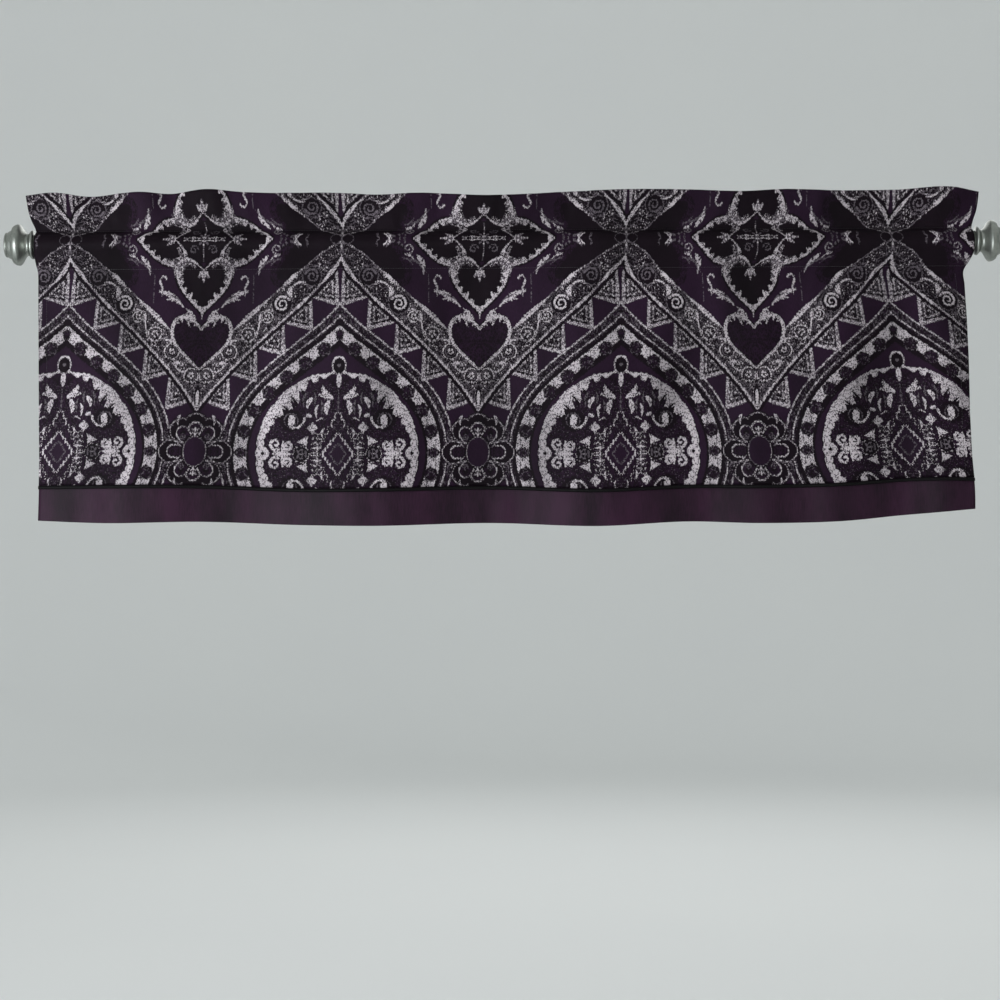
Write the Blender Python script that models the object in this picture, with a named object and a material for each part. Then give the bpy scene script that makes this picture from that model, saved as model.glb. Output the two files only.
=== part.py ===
"""A window valance on its rod: jacquard cloth with a header and rod pocket, piping, a plain band.

Metres, +Z up. The origin is the middle of the rod's axis. +X runs along the rod to the viewer's right,
the cloth's face looks along -Y, and the wall is on the +Y side.
The cloth is one length, folded over at the top. Two rows of stitches join its two layers: the header
seam just over the rod, and the pocket seam under it. Below that a single layer hangs in shallow folds.
"""

import math
from collections import namedtuple

import bmesh
import bpy
import numpy as np

MM = 0.001
GAP = 0.4 * MM                      # between pieces that touch

# The cloth
CUT_WIDTH = 1321 * MM               # 52 inches, flat between the finished sides
CLOTH_THICK = 1.5 * MM
HEADER_SEAM = 17 * MM               # height of the stitches over the rod
POCKET_SEAM = -34.6 * MM            # height of the stitches under the rod
SEAM_WEB = 3.5 * MM                 # height over which stitches press the two layers together
POCKET_EASE = 1.2 * MM              # the pocket's inside stands this far off the rod
HEADER_GAP = 1.0 * MM               # half the space between the header's layers
HEADER_MOUTH = 2.2 * MM             # the same at the two open ends
FOLD_GROWTH = 0.8                   # power of the folds' growth from the pocket to the hem
FRONT_SLACK = 0.035                 # pocket front's fullness for each mm of fold depth
SIDE_HEM_WIDTH = 15 * MM
SIDE_HEM_EXTRA = 1.2 * MM           # thickness that the turned-in hem adds behind

# The piping and the band
PIPING_RADIUS = 2.5 * MM
BAND_THICK = 2.0 * MM               # a double fold of thin satin
BAND_LAP = 14 * MM                  # seam allowance behind the face cloth
HEM_HEIGHT = -388 * MM              # mean height of the hem, where the folds are full depth

# The rod and its finials
ROD_RADIUS = 14 * MM
ROD_WALL = 1.2 * MM
COLLAR_FACE = 651.2 * MM            # distance of each collar's inner face from the middle
SPIGOT_LENGTH = 30 * MM
SPIGOT_RADIUS = ROD_RADIUS - ROD_WALL - GAP

# Grid sizes
STATIONS = 54                       # sections across the cloth
BODY_ROWS = 8
HEADER_ROWS = 5
ARC_STEPS = 4                       # points inside each arc of the pocket
PIPING_SIDES = 8
ROUND_SIDES = 24

# The tables are in millimetres. "across" is the place on the flat cloth, from its middle.
Side = namedtuple("Side", "height left right")
SIDES = [                           # where the cloth's two side edges hang
    Side(-390, -648.0, 650.2),
    Side(-345, -646.5, 650.0),
    Side(-300, -645.5, 646.2),
    Side(-250, -645.6, 643.7),
    Side(-150, -645.7, 641.3),
    Side(-100, -645.7, 639.0),
    Side(-60, -645.7, 636.5),
    Side(-40, -646.0, 635.5),
    Side(-28, -648.0, 642.5),
    Side(-15, -649.2, 648.0),
    Side(0, -649.2, 648.0),
    Side(22, -649.2, 647.0),
    Side(30, -653.0, 649.0),
    Side(40, -657.0, 652.5),
    Side(57, -661.0, 656.0),
    Side(78, -665.0, 659.0),
]

Top = namedtuple("Top", "across height lean")
TOP_EDGE = [                        # the header's fold: its height, and how far it leans to the front
    Top(-661, 69, -2),
    Top(-618, 72, 5),
    Top(-577, 67.5, -4),
    Top(-501, 73, 3),
    Top(-460, 70.5, -2),
    Top(-410, 76, 5),
    Top(-360, 72.5, 0),
    Top(-224, 71, -3),
    Top(-169, 67.5, 4),
    Top(-130, 70.5, -2),
    Top(-19, 66.5, 3),
    Top(94, 71.5, -3),
    Top(163, 73.5, 4),
    Top(263, 73.5, -2),
    Top(330, 70.5, 3),
    Top(396, 74, -4),
    Top(463, 71, 2),
    Top(551, 72.5, -3),
    Top(622, 75, 5),
    Top(661, 69, -4),
]

Lower = namedtuple("Lower", "across seam hem")
LOWER_EDGE = [                      # heights of the piped seam and of the hem
    Lower(-661, -336, -382),
    Lower(-573, -335.5, -385.5),
    Lower(-432, -336, -384.5),
    Lower(-291, -341.5, -389.5),
    Lower(-192, -341.5, -391),
    Lower(-23, -339, -388),
    Lower(132, -343.5, -392.5),
    Lower(259, -338.5, -387),
    Lower(357, -339, -389.5),
    Lower(484, -336, -386.5),
    Lower(555, -331, -380),
    Lower(597, -329.5, -376.5),
    Lower(661, -330, -371),
]

Fold = namedtuple("Fold", "pocket_across pocket_depth hem_across hem_depth")
FOLDS = [                           # crests and hollows: depth is how far they stand to the front
    Fold(-661, 0, -661, 1),
    Fold(-598, 1, -600, 6),
    Fold(-530, 2.5, -522, 10),
    Fold(-376, -2.5, -383, -9),
    Fold(-196, 2.5, -190, 13),
    Fold(-12, -2.5, -14, -12),
    Fold(134, 2.5, 140, 12),
    Fold(288, -2, 283, -9),
    Fold(362, 1, 367, 4),
    Fold(410, -0.5, 408, 0.5),
    Fold(462, 1.5, 457, 7),
    Fold(556, -2, 562, -7),
    Fold(622, 1.5, 626, 6),
    Fold(661, 0, 661, 2),
]

Ring = namedtuple("Ring", "along radius")
PEAK_ALONG = 20.5                   # from the collar's inner face to the bulb's widest ring
PEAK_RADIUS = 28.6
NECK_RADIUS = 15.0
NECK_ALONG = 8.0                    # where the neck turns into the bulb
CROWN_ALONG = 27.8                  # the step at the bulb's outer edge
CROWN_DROP = 2.9                    # how far the bulb has curved in by there
COLLAR = [Ring(0, 18.6), Ring(0.9, 19.6), Ring(3.4, 19.6), Ring(6.2, 16.0), Ring(7.0, NECK_RADIUS)]
TIP = [
    Ring(CROWN_ALONG + 0.1, 21.4),
    Ring(31.5, 19.8),
    Ring(35.6, 17.6),
    Ring(36.0, 16.5),
    Ring(36.6, 17.1),
    Ring(38.5, 17.1),
    Ring(39.1, 16.2),
]
TIP_END = 39.4

PLUM_BLACK = (0.018, 0.012, 0.020)
PLUM = (0.036, 0.017, 0.034)
BLACK = (0.006, 0.006, 0.007)
PEWTER = (0.36, 0.37, 0.36)


def column(rows, name):
    """One column of a table, in metres."""
    return np.array([getattr(row, name) for row in rows], dtype=float) * MM


def through_rows(rows, place, value, where):
    """A smooth curve through a table's rows, read at `where`.

    Each stretch between two rows is a cubic that leaves and arrives at the slope of the row's neighbours.
    """
    places = column(rows, place)
    values = column(rows, value)
    slopes = np.gradient(values, places)
    low = np.clip(np.searchsorted(places, where) - 1, 0, len(places) - 2)
    span = places[low + 1] - places[low]
    t = np.clip((where - places[low]) / span, 0.0, 1.0)
    return (
        values[low] * (2 * t**3 - 3 * t**2 + 1)
        + values[low + 1] * (3 * t**2 - 2 * t**3)
        + span * slopes[low] * (t**3 - 2 * t**2 + t)
        + span * slopes[low + 1] * (t**3 - t**2)
    )


def hung_x(across, height):
    """X of a point of the cloth: its place across, fitted between the two side edges at its height."""
    left = through_rows(SIDES, "height", "left", height)
    right = through_rows(SIDES, "height", "right", height)
    return left + (right - left) * (across / CUT_WIDTH + 0.5)


def hung_point(across, y, z):
    """World points for arrays of places across, depths y and heights z."""
    heights = np.broadcast_to(z, across.shape)
    return np.stack([hung_x(across, heights), np.broadcast_to(y, across.shape), heights], axis=-1)


def fold_back(across, height):
    """Y of the single layer's back: the folds' depth grows from the pocket seam to the hem."""
    fall = np.clip((POCKET_SEAM - height) / (POCKET_SEAM - HEM_HEIGHT), 0.0, 1.0) ** FOLD_GROWTH
    at_pocket = through_rows(FOLDS, "pocket_across", "pocket_depth", across)
    at_hem = through_rows(FOLDS, "hem_across", "hem_depth", across)
    return -(at_pocket * (1 - fall) + at_hem * fall)


def seam_height(across):
    """Height of the piped seam's middle."""
    return through_rows(LOWER_EDGE, "across", "seam", across)


def pocket_profile():
    """Inside of the pocket's front half as (y, z), and the direction out of the cloth at each point.

    From the pocket seam the layer runs straight to the circle around the rod, follows it, and leaves
    it straight to the header seam.
    """
    inside = ROD_RADIUS + POCKET_EASE
    start = math.acos(inside / -POCKET_SEAM)
    end = math.pi - math.acos(inside / HEADER_SEAM)
    angles = np.linspace(start, end, ARC_STEPS + 2)
    outward = np.stack([-np.sin(angles), -np.cos(angles)], axis=-1)
    arc = inside * outward
    low = np.array([0.0, POCKET_SEAM])
    high = np.array([0.0, HEADER_SEAM])
    points = np.vstack([low, (low + arc[0]) / 2, arc, high])
    normals = np.vstack([outward[0], outward[0], outward, outward[-1]])
    return points, normals


class Section:
    """Named points of a section, each an array over the stations, and the loops and caps they form."""

    def __init__(self):
        self.points = []

    def add(self, points):
        """Store one point for all stations and return its number."""
        self.points.append(points)
        return len(self.points) - 1

    def solid(self, name, loops, caps, material):
        """Join each loop from station to station, close both ends with the caps, and add the object."""
        rings = np.stack(self.points, axis=1)
        stations, count = rings.shape[:2]
        faces = []
        for loop in loops:
            for first, second in zip(loop, loop[1:] + loop[:1]):
                for station in range(stations - 1):
                    near = station * count
                    far = near + count
                    faces.append((near + first, near + second, far + second, far + first))
        last = (stations - 1) * count
        for cap in caps:
            faces.append(tuple(cap))
            faces.append(tuple(last + index for index in reversed(cap)))
        return add_solid(name, rings.reshape(-1, 3), faces, material)


def add_solid(name, vertices, faces, material):
    """Add a closed mesh with its faces pointing out."""
    mesh = bpy.data.meshes.new(name)
    mesh.from_pydata([tuple(map(float, vertex)) for vertex in vertices], [], faces)
    shape = bmesh.new()
    shape.from_mesh(mesh)
    bmesh.ops.triangulate(shape, faces=[face for face in shape.faces if len(face.verts) > 3])
    bmesh.ops.recalc_face_normals(shape, faces=shape.faces)
    shape.to_mesh(mesh)
    shape.free()
    mesh.shade_smooth()
    mesh.set_sharp_from_angle(angle=math.radians(40))
    mesh.materials.append(material)
    piece = bpy.data.objects.new(name, mesh)
    bpy.context.scene.collection.objects.link(piece)
    return piece


def finish(name, colour, roughness, metallic=0.0):
    """A Principled BSDF material."""
    material = bpy.data.materials.new(name)
    material.use_nodes = True
    shader = material.node_tree.nodes["Principled BSDF"]
    shader.inputs["Base Color"].default_value = (*colour, 1.0)
    shader.inputs["Roughness"].default_value = roughness
    shader.inputs["Metallic"].default_value = metallic
    return material


def stations_across():
    """Places across the cloth at which it is cut into sections, with one at each side hem's edge."""
    half = CUT_WIDTH / 2
    inner = half - SIDE_HEM_WIDTH
    spread = np.linspace(-inner, inner, STATIONS - 4)
    ends = np.array([half, inner + 1 * MM])
    return np.concatenate([-ends, spread, ends[::-1]])


def make_cloth(material):
    """The face cloth: one layer below, a pocket around the rod, and a double header over it."""
    across = stations_across()
    section = Section()

    # Body: a single layer from the piped seam up to the ledge where the turned-down layer ends
    foot = seam_height(across) + PIPING_RADIUS + GAP
    ledge = np.full_like(across, POCKET_SEAM - SEAM_WEB)
    in_side_hem = np.abs(across) > CUT_WIDTH / 2 - SIDE_HEM_WIDTH + 0.5 * MM
    front = []
    back = []
    for share in np.linspace(0.0, 1.0, BODY_ROWS):
        height = foot + (ledge - foot) * share
        y = fold_back(across, height)
        clear_of_lap = height > seam_height(across) + BAND_LAP + 2 * MM
        hem = np.where(in_side_hem & clear_of_lap, SIDE_HEM_EXTRA, 0.0)
        front.append(section.add(hung_point(across, y - CLOTH_THICK, height)))
        back.append(section.add(hung_point(across, y + hem, height)))
    ledge_edge = section.add(hung_point(across, fold_back(across, ledge) + CLOTH_THICK, ledge))

    # Pocket: the two layers part at its seam, pass the rod on both sides and meet over it
    seam_back = fold_back(across, np.full_like(across, POCKET_SEAM))
    fullness = 1.0 + FRONT_SLACK * np.maximum(-seam_back, 0.0) / MM
    profile, normals = pocket_profile()
    low_crotch = section.add(hung_point(across, seam_back, POCKET_SEAM))
    high_crotch = section.add(hung_point(across, 0.0, HEADER_SEAM))
    pocket = {}
    for side, y_sign, full in (("front", 1.0, fullness), ("back", -1.0, 1.0)):
        outer = [section.add(hung_point(across, seam_back - y_sign * CLOTH_THICK, POCKET_SEAM))]
        inner = [low_crotch]
        for (y, z), (normal_y, normal_z) in zip(profile[1:-1], normals[1:-1]):
            pull = seam_back * np.clip((z + ROD_RADIUS) / (POCKET_SEAM + ROD_RADIUS), 0.0, 1.0)
            inner.append(section.add(hung_point(across, pull + y_sign * full * y, z)))
            outer_y = pull + y_sign * (full * y + CLOTH_THICK * normal_y)
            outer.append(section.add(hung_point(across, outer_y, z + CLOTH_THICK * normal_z)))
        inner.append(high_crotch)
        outer.append(section.add(hung_point(across, -y_sign * CLOTH_THICK, HEADER_SEAM)))
        pocket[side] = (outer, inner)

    # Header: two layers a little apart, joined at the seam below and by the fold above
    top = through_rows(TOP_EDGE, "across", "height", across)
    lean = through_rows(TOP_EDGE, "across", "lean", across)
    start = HEADER_SEAM + SEAM_WEB
    fold_inside = top - 2.2 * CLOTH_THICK
    mouth = np.exp(-(CUT_WIDTH / 2 - np.abs(across)) / (40 * MM))
    gap = HEADER_GAP + (HEADER_MOUTH - HEADER_GAP) * mouth
    header_low = section.add(hung_point(across, 0.0, start))
    header_high = section.add(hung_point(across, -lean, fold_inside))
    header = {"front": ([], []), "back": ([], [])}
    for row, share in enumerate(np.linspace(0.0, 1.0, HEADER_ROWS)):
        height = start + (fold_inside - start) * share
        middle = -lean * share**1.5
        part = gap * math.sin(math.pi * share)
        for side, y_sign in (("front", 1.0), ("back", -1.0)):
            outer, inner = header[side]
            outer.append(section.add(hung_point(across, middle - y_sign * (part + CLOTH_THICK), height)))
            if row == 0:
                inner.append(header_low)
            elif row == HEADER_ROWS - 1:
                inner.append(header_high)
            else:
                inner.append(section.add(hung_point(across, middle - y_sign * part, height)))
    apex = section.add(hung_point(across, -lean, top))

    front_outer, front_inner = pocket["front"]
    back_outer, back_inner = pocket["back"]
    head_front, head_front_in = header["front"]
    head_back, head_back_in = header["back"]
    outer_loop = (
        front + front_outer + head_front + [apex]
        + head_back[::-1] + back_outer[::-1] + [ledge_edge] + back[::-1]
    )
    pocket_loop = front_inner + back_inner[-2:0:-1]
    header_loop = head_front_in + head_back_in[-2:0:-1]

    caps = wall_caps(front, back)
    caps.append([front[-1], front_outer[0], low_crotch, back_outer[0], ledge_edge, back[-1]])
    caps += wall_caps(front_outer, front_inner) + wall_caps(back_inner, back_outer)
    caps.append([front_outer[-1], head_front[0], header_low, high_crotch])
    caps.append([high_crotch, header_low, head_back[0], back_outer[-1]])
    caps += wall_caps(head_front, head_front_in) + wall_caps(head_back_in, head_back)
    caps.append([head_front[-1], apex, header_high])
    caps.append([apex, head_back[-1], header_high])
    return section.solid("cloth", [outer_loop, pocket_loop, header_loop], caps, material)


def wall_caps(left, right):
    """End faces of a wall between two rows of points, all turned the same way."""
    return [
        [left[row], left[row + 1], right[row + 1], right[row]]
        for row in range(len(left) - 1)
    ]


def make_piping(material):
    """The covered cord, lying in the seam under the face cloth's edge and in front of the band."""
    across = stations_across()
    seam = seam_height(across)
    middle = fold_back(across, seam) - PIPING_RADIUS
    section = Section()
    ring = []
    for angle in np.arange(PIPING_SIDES) * math.tau / PIPING_SIDES:
        y = middle + PIPING_RADIUS * math.cos(angle)
        ring.append(section.add(hung_point(across, y, seam + PIPING_RADIUS * math.sin(angle))))
    return section.solid("piping", [ring], [ring], material)


def make_band(material):
    """The bottom band: a folded strip, lapped up behind the face cloth, with a rounded hem."""
    across = stations_across()
    seam = seam_height(across)
    hem = through_rows(LOWER_EDGE, "across", "hem", across)
    heights = [seam + BAND_LAP, seam + 4 * MM, seam - 4 * MM, (seam + hem) / 2, hem + 1.2 * MM]
    section = Section()
    front = []
    back = []
    for height in heights:
        y = fold_back(across, height) + GAP
        front.append(section.add(hung_point(across, y, height)))
        back.append(section.add(hung_point(across, y + BAND_THICK, height)))
    fold_y = fold_back(across, hem) + GAP + BAND_THICK / 2
    fold = section.add(hung_point(across, fold_y, hem))
    caps = wall_caps(front, back)
    caps.append([front[-1], fold, back[-1]])
    return section.solid("band", [front + [fold] + back[::-1]], caps, material)


def turned(name, profile, material, closed=False):
    """A solid turned on the X axis from (x, radius) pairs; points on the axis become poles.

    A closed profile is a ring's cross-section and touches the axis nowhere.
    """
    angles = np.arange(ROUND_SIDES) * math.tau / ROUND_SIDES
    vertices = []
    rings = []
    for x, radius in profile:
        start = len(vertices)
        if radius == 0:
            vertices.append((x, 0.0, 0.0))
            rings.append([start] * ROUND_SIDES)
        else:
            vertices += [(x, radius * math.cos(angle), radius * math.sin(angle)) for angle in angles]
            rings.append(list(range(start, start + ROUND_SIDES)))
    pairs = list(zip(rings, rings[1:]))
    if closed:
        pairs.append((rings[-1], rings[0]))
    faces = []
    for near, far in pairs:
        for side in range(ROUND_SIDES):
            following = (side + 1) % ROUND_SIDES
            corners = [near[side], near[following], far[following], far[side]]
            faces.append(tuple(dict.fromkeys(corners)))
    return add_solid(name, vertices, faces, material)


def make_rod(material):
    """The rod: a plain tube between the two collars."""
    end = COLLAR_FACE - GAP
    inner = ROD_RADIUS - ROD_WALL
    profile = [(-end, ROD_RADIUS), (end, ROD_RADIUS), (end, inner), (-end, inner)]
    return turned("rod", profile, material, closed=True)


def finial_rings():
    """The finial's outline, in mm from its collar's inner face.

    The bulb swells from the neck to its widest ring as half a cosine wave, and curves in from there
    as a parabola to the step at its crown.
    """
    swell = [
        Ring(
            NECK_ALONG + (PEAK_ALONG - NECK_ALONG) * share,
            NECK_RADIUS + (PEAK_RADIUS - NECK_RADIUS) * (1 - math.cos(math.pi * share)) / 2,
        )
        for share in (0.0, 0.25, 0.45, 0.65, 0.82, 1.0)
    ]
    crown = [
        Ring(
            PEAK_ALONG + (CROWN_ALONG - PEAK_ALONG) * share,
            PEAK_RADIUS - CROWN_DROP * share**2,
        )
        for share in (0.4, 0.75, 1.0)
    ]
    return COLLAR + swell + crown + TIP


def make_finial(name, direction, material):
    """One finial, with the spigot that plugs into the rod; direction is -1 at the left, 1 at the right."""
    inside_end = COLLAR_FACE - SPIGOT_LENGTH
    profile = [(inside_end, 0), (inside_end, SPIGOT_RADIUS), (COLLAR_FACE, SPIGOT_RADIUS)]
    profile += [(COLLAR_FACE + ring.along * MM, ring.radius * MM) for ring in finial_rings()]
    profile.append((COLLAR_FACE + TIP_END * MM, 0))
    return turned(name, [(direction * x, radius) for x, radius in profile], material)


def main():
    """Clear the scene and build the six pieces."""
    for existing in list(bpy.data.objects):
        bpy.data.objects.remove(existing, do_unlink=True)

    pewter = finish("pewter_nickel", PEWTER, roughness=0.35, metallic=1.0)
    make_cloth(finish("jacquard_damask", PLUM_BLACK, roughness=0.75))
    make_piping(finish("black_cord", BLACK, roughness=0.8))
    make_band(finish("plum_satin", PLUM, roughness=0.6))
    make_rod(pewter)
    make_finial("finial_left", -1, pewter)
    make_finial("finial_right", 1, pewter)


main()
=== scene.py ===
"""Looks of a window valance on its rod: jacquard damask, a piped seam, a plum sateen band and pewter finials.

Everything is in metres in the frame of the CAD model: the origin is the middle of the rod's axis, +X runs
along the rod to the viewer's right, the cloth's face looks along -Y and +Z is up.
"""

import logging
import math
from dataclasses import dataclass, field
from enum import Enum, IntEnum
from typing import NamedTuple

import bpy
import numpy as np
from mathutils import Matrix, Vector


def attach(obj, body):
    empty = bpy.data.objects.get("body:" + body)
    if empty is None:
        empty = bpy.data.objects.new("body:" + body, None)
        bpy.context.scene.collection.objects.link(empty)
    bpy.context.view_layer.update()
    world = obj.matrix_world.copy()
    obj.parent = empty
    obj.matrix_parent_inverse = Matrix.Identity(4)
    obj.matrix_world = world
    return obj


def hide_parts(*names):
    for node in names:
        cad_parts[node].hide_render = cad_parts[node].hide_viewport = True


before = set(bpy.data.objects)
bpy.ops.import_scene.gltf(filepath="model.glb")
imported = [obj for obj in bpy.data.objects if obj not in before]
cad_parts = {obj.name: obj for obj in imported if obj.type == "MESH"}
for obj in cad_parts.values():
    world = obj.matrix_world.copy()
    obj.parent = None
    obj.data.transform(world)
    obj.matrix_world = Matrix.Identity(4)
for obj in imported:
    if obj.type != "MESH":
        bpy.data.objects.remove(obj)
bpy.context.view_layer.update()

LOG = logging.getLogger("valance")
MM = 0.001
SEED = 52
TINY = 1e-9
# Scale at which a wave texture's bands come one metre apart
WAVE = math.pi / 10
# A mesh face of the damask shows CELLS by CELLS cells of the weaving chart, packed into two attributes
CELLS = 6
CODE_NAMES = ("chart_low", "chart_high")
# Free strips of the bake map for a sheet's four rims: where each begins and ends, and whether it is upright
RIM_STRIPS = ((0.494, 0.498, False), (0.002, 0.007, True), (0.502, 0.506, False), (0.993, 0.998, True))

Array = np.ndarray
Material = bpy.types.Material
Node = bpy.types.Node
Piece = bpy.types.Object
Tree = bpy.types.NodeTree
Window = tuple[slice, slice]


class Tone(IntEnum):
    """The four colours that the loom can bring to the face."""

    BLACK = 0
    PLUM = 1
    SHADE = 2
    SILVER = 3


class Weave(Enum):
    """How a shape of the chart is filled: all its cells, scattered ones, or thin winding lines."""

    PLAIN = "plain"
    GRAIN = "grain"
    SCROLL = "scroll"


class Ink(NamedTuple):
    """A tone and the cells of a shape that take it.

    The share is the share of the cells for a grained fill, and for a scrolled one the half width
    of its lines, in the deviations of the waves that draw them.
    """

    tone: Tone
    weave: Weave = Weave.PLAIN
    share: float = 1.0

    def grain(self, share: float) -> "Ink":
        """The same tone on scattered cells only."""
        return self._replace(weave=Weave.GRAIN, share=share)

    def scroll(self, share: float) -> "Ink":
        """The same tone along winding lines only."""
        return self._replace(weave=Weave.SCROLL, share=share)


BLACK, PLUM, SHADE, SILVER = (Ink(tone) for tone in Tone)


class LeafRow(NamedTuple):
    """A leaf of the chart: root, length and width in mm, angle in degrees, bow as a share of its length."""

    u: float
    d: float
    angle: float
    length: float
    width: float
    bow: float
    ink: Ink


class End(Enum):
    """An end of the rod, with its direction along X."""

    LEFT = -1
    RIGHT = 1


class SideRow(NamedTuple):
    """Where the cloth's two side edges hang at a height, in mm."""

    height: float
    left: float
    right: float


class TopRow(NamedTuple):
    """Height of the header's fold and its lean to the front, in mm."""

    across: float
    height: float
    lean: float


class LowerRow(NamedTuple):
    """Heights of the piped seam and of the hem, in mm."""

    across: float
    seam: float
    hem: float


class FoldRow(NamedTuple):
    """A crest or hollow of the folds: how far it stands to the front, in mm."""

    pocket_across: float
    pocket_depth: float
    hem_across: float
    hem_depth: float


class AxisRow(NamedTuple):
    """Where an axis of the damask crosses the cloth, in mm; palmettes have even numbers, medallions odd."""

    index: float
    at_pocket: float
    at_hem: float


SIDES = (
    SideRow(-390, -648.0, 650.2),
    SideRow(-345, -646.5, 650.0),
    SideRow(-300, -645.5, 646.2),
    SideRow(-250, -645.6, 643.7),
    SideRow(-150, -645.7, 641.3),
    SideRow(-100, -645.7, 639.0),
    SideRow(-60, -645.7, 636.5),
    SideRow(-40, -646.0, 635.5),
    SideRow(-28, -648.0, 642.5),
    SideRow(-15, -649.2, 648.0),
    SideRow(0, -649.2, 648.0),
    SideRow(22, -649.2, 647.0),
    SideRow(30, -653.0, 649.0),
    SideRow(40, -657.0, 652.5),
    SideRow(57, -661.0, 656.0),
    SideRow(78, -665.0, 659.0),
)
TOP_EDGE = (
    TopRow(-661, 69, -2),
    TopRow(-618, 72, 5),
    TopRow(-577, 67.5, -4),
    TopRow(-501, 73, 3),
    TopRow(-460, 70.5, -2),
    TopRow(-410, 76, 5),
    TopRow(-360, 72.5, 0),
    TopRow(-224, 71, -3),
    TopRow(-169, 67.5, 4),
    TopRow(-130, 70.5, -2),
    TopRow(-19, 66.5, 3),
    TopRow(94, 71.5, -3),
    TopRow(163, 73.5, 4),
    TopRow(263, 73.5, -2),
    TopRow(330, 70.5, 3),
    TopRow(396, 74, -4),
    TopRow(463, 71, 2),
    TopRow(551, 72.5, -3),
    TopRow(622, 75, 5),
    TopRow(661, 69, -4),
)
LOWER_EDGE = (
    LowerRow(-661, -336, -382),
    LowerRow(-573, -335.5, -385.5),
    LowerRow(-432, -336, -384.5),
    LowerRow(-291, -341.5, -389.5),
    LowerRow(-192, -341.5, -391),
    LowerRow(-23, -339, -388),
    LowerRow(132, -343.5, -392.5),
    LowerRow(259, -338.5, -387),
    LowerRow(357, -339, -389.5),
    LowerRow(484, -336, -386.5),
    LowerRow(555, -331, -380),
    LowerRow(597, -329.5, -376.5),
    LowerRow(661, -330, -371),
)
FOLDS = (
    FoldRow(-661, 0, -661, 1),
    FoldRow(-598, 1, -600, 6),
    FoldRow(-530, 2.5, -522, 10),
    FoldRow(-376, -2.5, -383, -9),
    FoldRow(-196, 2.5, -190, 13),
    FoldRow(-12, -2.5, -14, -12),
    FoldRow(134, 2.5, 140, 12),
    FoldRow(288, -2, 283, -9),
    FoldRow(362, 1, 367, 4),
    FoldRow(410, -0.5, 408, 0.5),
    FoldRow(462, 1.5, 457, 7),
    FoldRow(556, -2, 562, -7),
    FoldRow(622, 1.5, 626, 6),
    FoldRow(661, 0, 661, 2),
)
DAMASK_AXES = (
    AxisRow(-4, -798, -836),
    AxisRow(-3, -608.1, -634),
    AxisRow(-2, -420.9, -441.4),
    AxisRow(-1, -227.5, -237),
    AxisRow(0, -28.2, -39.4),
    AxisRow(1, 172, 162.7),
    AxisRow(2, 355.4, 359.8),
    AxisRow(3, 544.2, 571.4),
    AxisRow(4, 735, 775),
)


STRAP_LINE = ((197, 7), (150, 75), (40, 135), (-25, 240))
ARCH_LINE = ((197, 90), (150, 150), (34.2, 185), (34.2, 299))
CORNER_SPRAYS = (
    LeafRow(27, 30, 60, 20, 3.8, -0.1, SHADE.grain(0.7)),
    LeafRow(34, 28, 55, 22, 3.6, -0.1, SHADE.grain(0.7)),
    LeafRow(37, 35, 75, 20, 4.6, -0.1, SILVER.grain(0.7)),
    LeafRow(64, 60, 100, 22, 3.4, 0.1, SILVER.grain(0.85)),
    LeafRow(64, 74, 148, 44, 7.0, 0.1, SILVER.grain(0.88)),
    LeafRow(53, 85, 160, 20, 3.2, 0.1, SILVER.grain(0.7)),
    LeafRow(50, 79, 150, 22, 3.2, 0.1, SHADE),
    LeafRow(24, 98, 125, 32, 5.4, 0.08, SILVER.grain(0.7)),
    LeafRow(0, 101, 90, 12, 3.0, 0.0, SILVER.grain(0.7)),
)
SIDE_SPRAYS = (
    LeafRow(92, 24, 115, 30, 6.4, 0.12, SILVER.grain(0.88)),
    LeafRow(97, 32, 140, 22, 3.2, 0.12, SHADE),
    LeafRow(112, 27, 145, 20, 3.8, 0.12, SHADE.grain(0.7)),
    LeafRow(109, 24, 155, 15, 3.4, 0.2, SILVER.grain(0.7)),
    LeafRow(112, 30, 150, 44, 2.0, 0.2, SHADE.grain(0.6)),
    LeafRow(122, 2, 35, 18, 4.2, -0.06, SHADE),
    LeafRow(128, -2, 45, 17, 5.6, 0.1, SILVER.grain(0.7)),
    LeafRow(144, 0, 75, 13, 3.0, -0.15, SHADE.grain(0.7)),
)
MEDALLION_LEAVES = (
    LeafRow(189, 221, 230, 24, 8.4, -0.16, SILVER.grain(0.8)),
    LeafRow(184, 221, 195, 17, 6.4, 0.12, SILVER.grain(0.8)),
    LeafRow(184, 224, 100, 20, 7.4, 0.12, SILVER.grain(0.8)),
    LeafRow(168, 230, 95, 18, 4.4, 0.1, SILVER.grain(0.9)),
    LeafRow(160, 220, 115, 16, 6.8, 0.15, SILVER.grain(0.95)),
    LeafRow(177, 248, 160, 12, 3.0, 0.1, SILVER.grain(0.7)),
    LeafRow(178, 261, 100, 14, 3.4, 0.2, SILVER.grain(0.6)),
    LeafRow(151, 213, 98, 19, 3.2, 0.1, SHADE.grain(0.8)),
    LeafRow(172, 223, 88, 21, 3.2, -0.1, SHADE.grain(0.8)),
    LeafRow(163, 213, 92, 17, 3.2, -0.1, SHADE.grain(0.8)),
    LeafRow(153, 243, 20, 7, 5.0, 0.0, SILVER),
)


def column(rows: tuple, name: str) -> Array:
    """One column of a table, in metres."""
    return np.array([getattr(row, name) for row in rows], dtype=float) * MM


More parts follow.
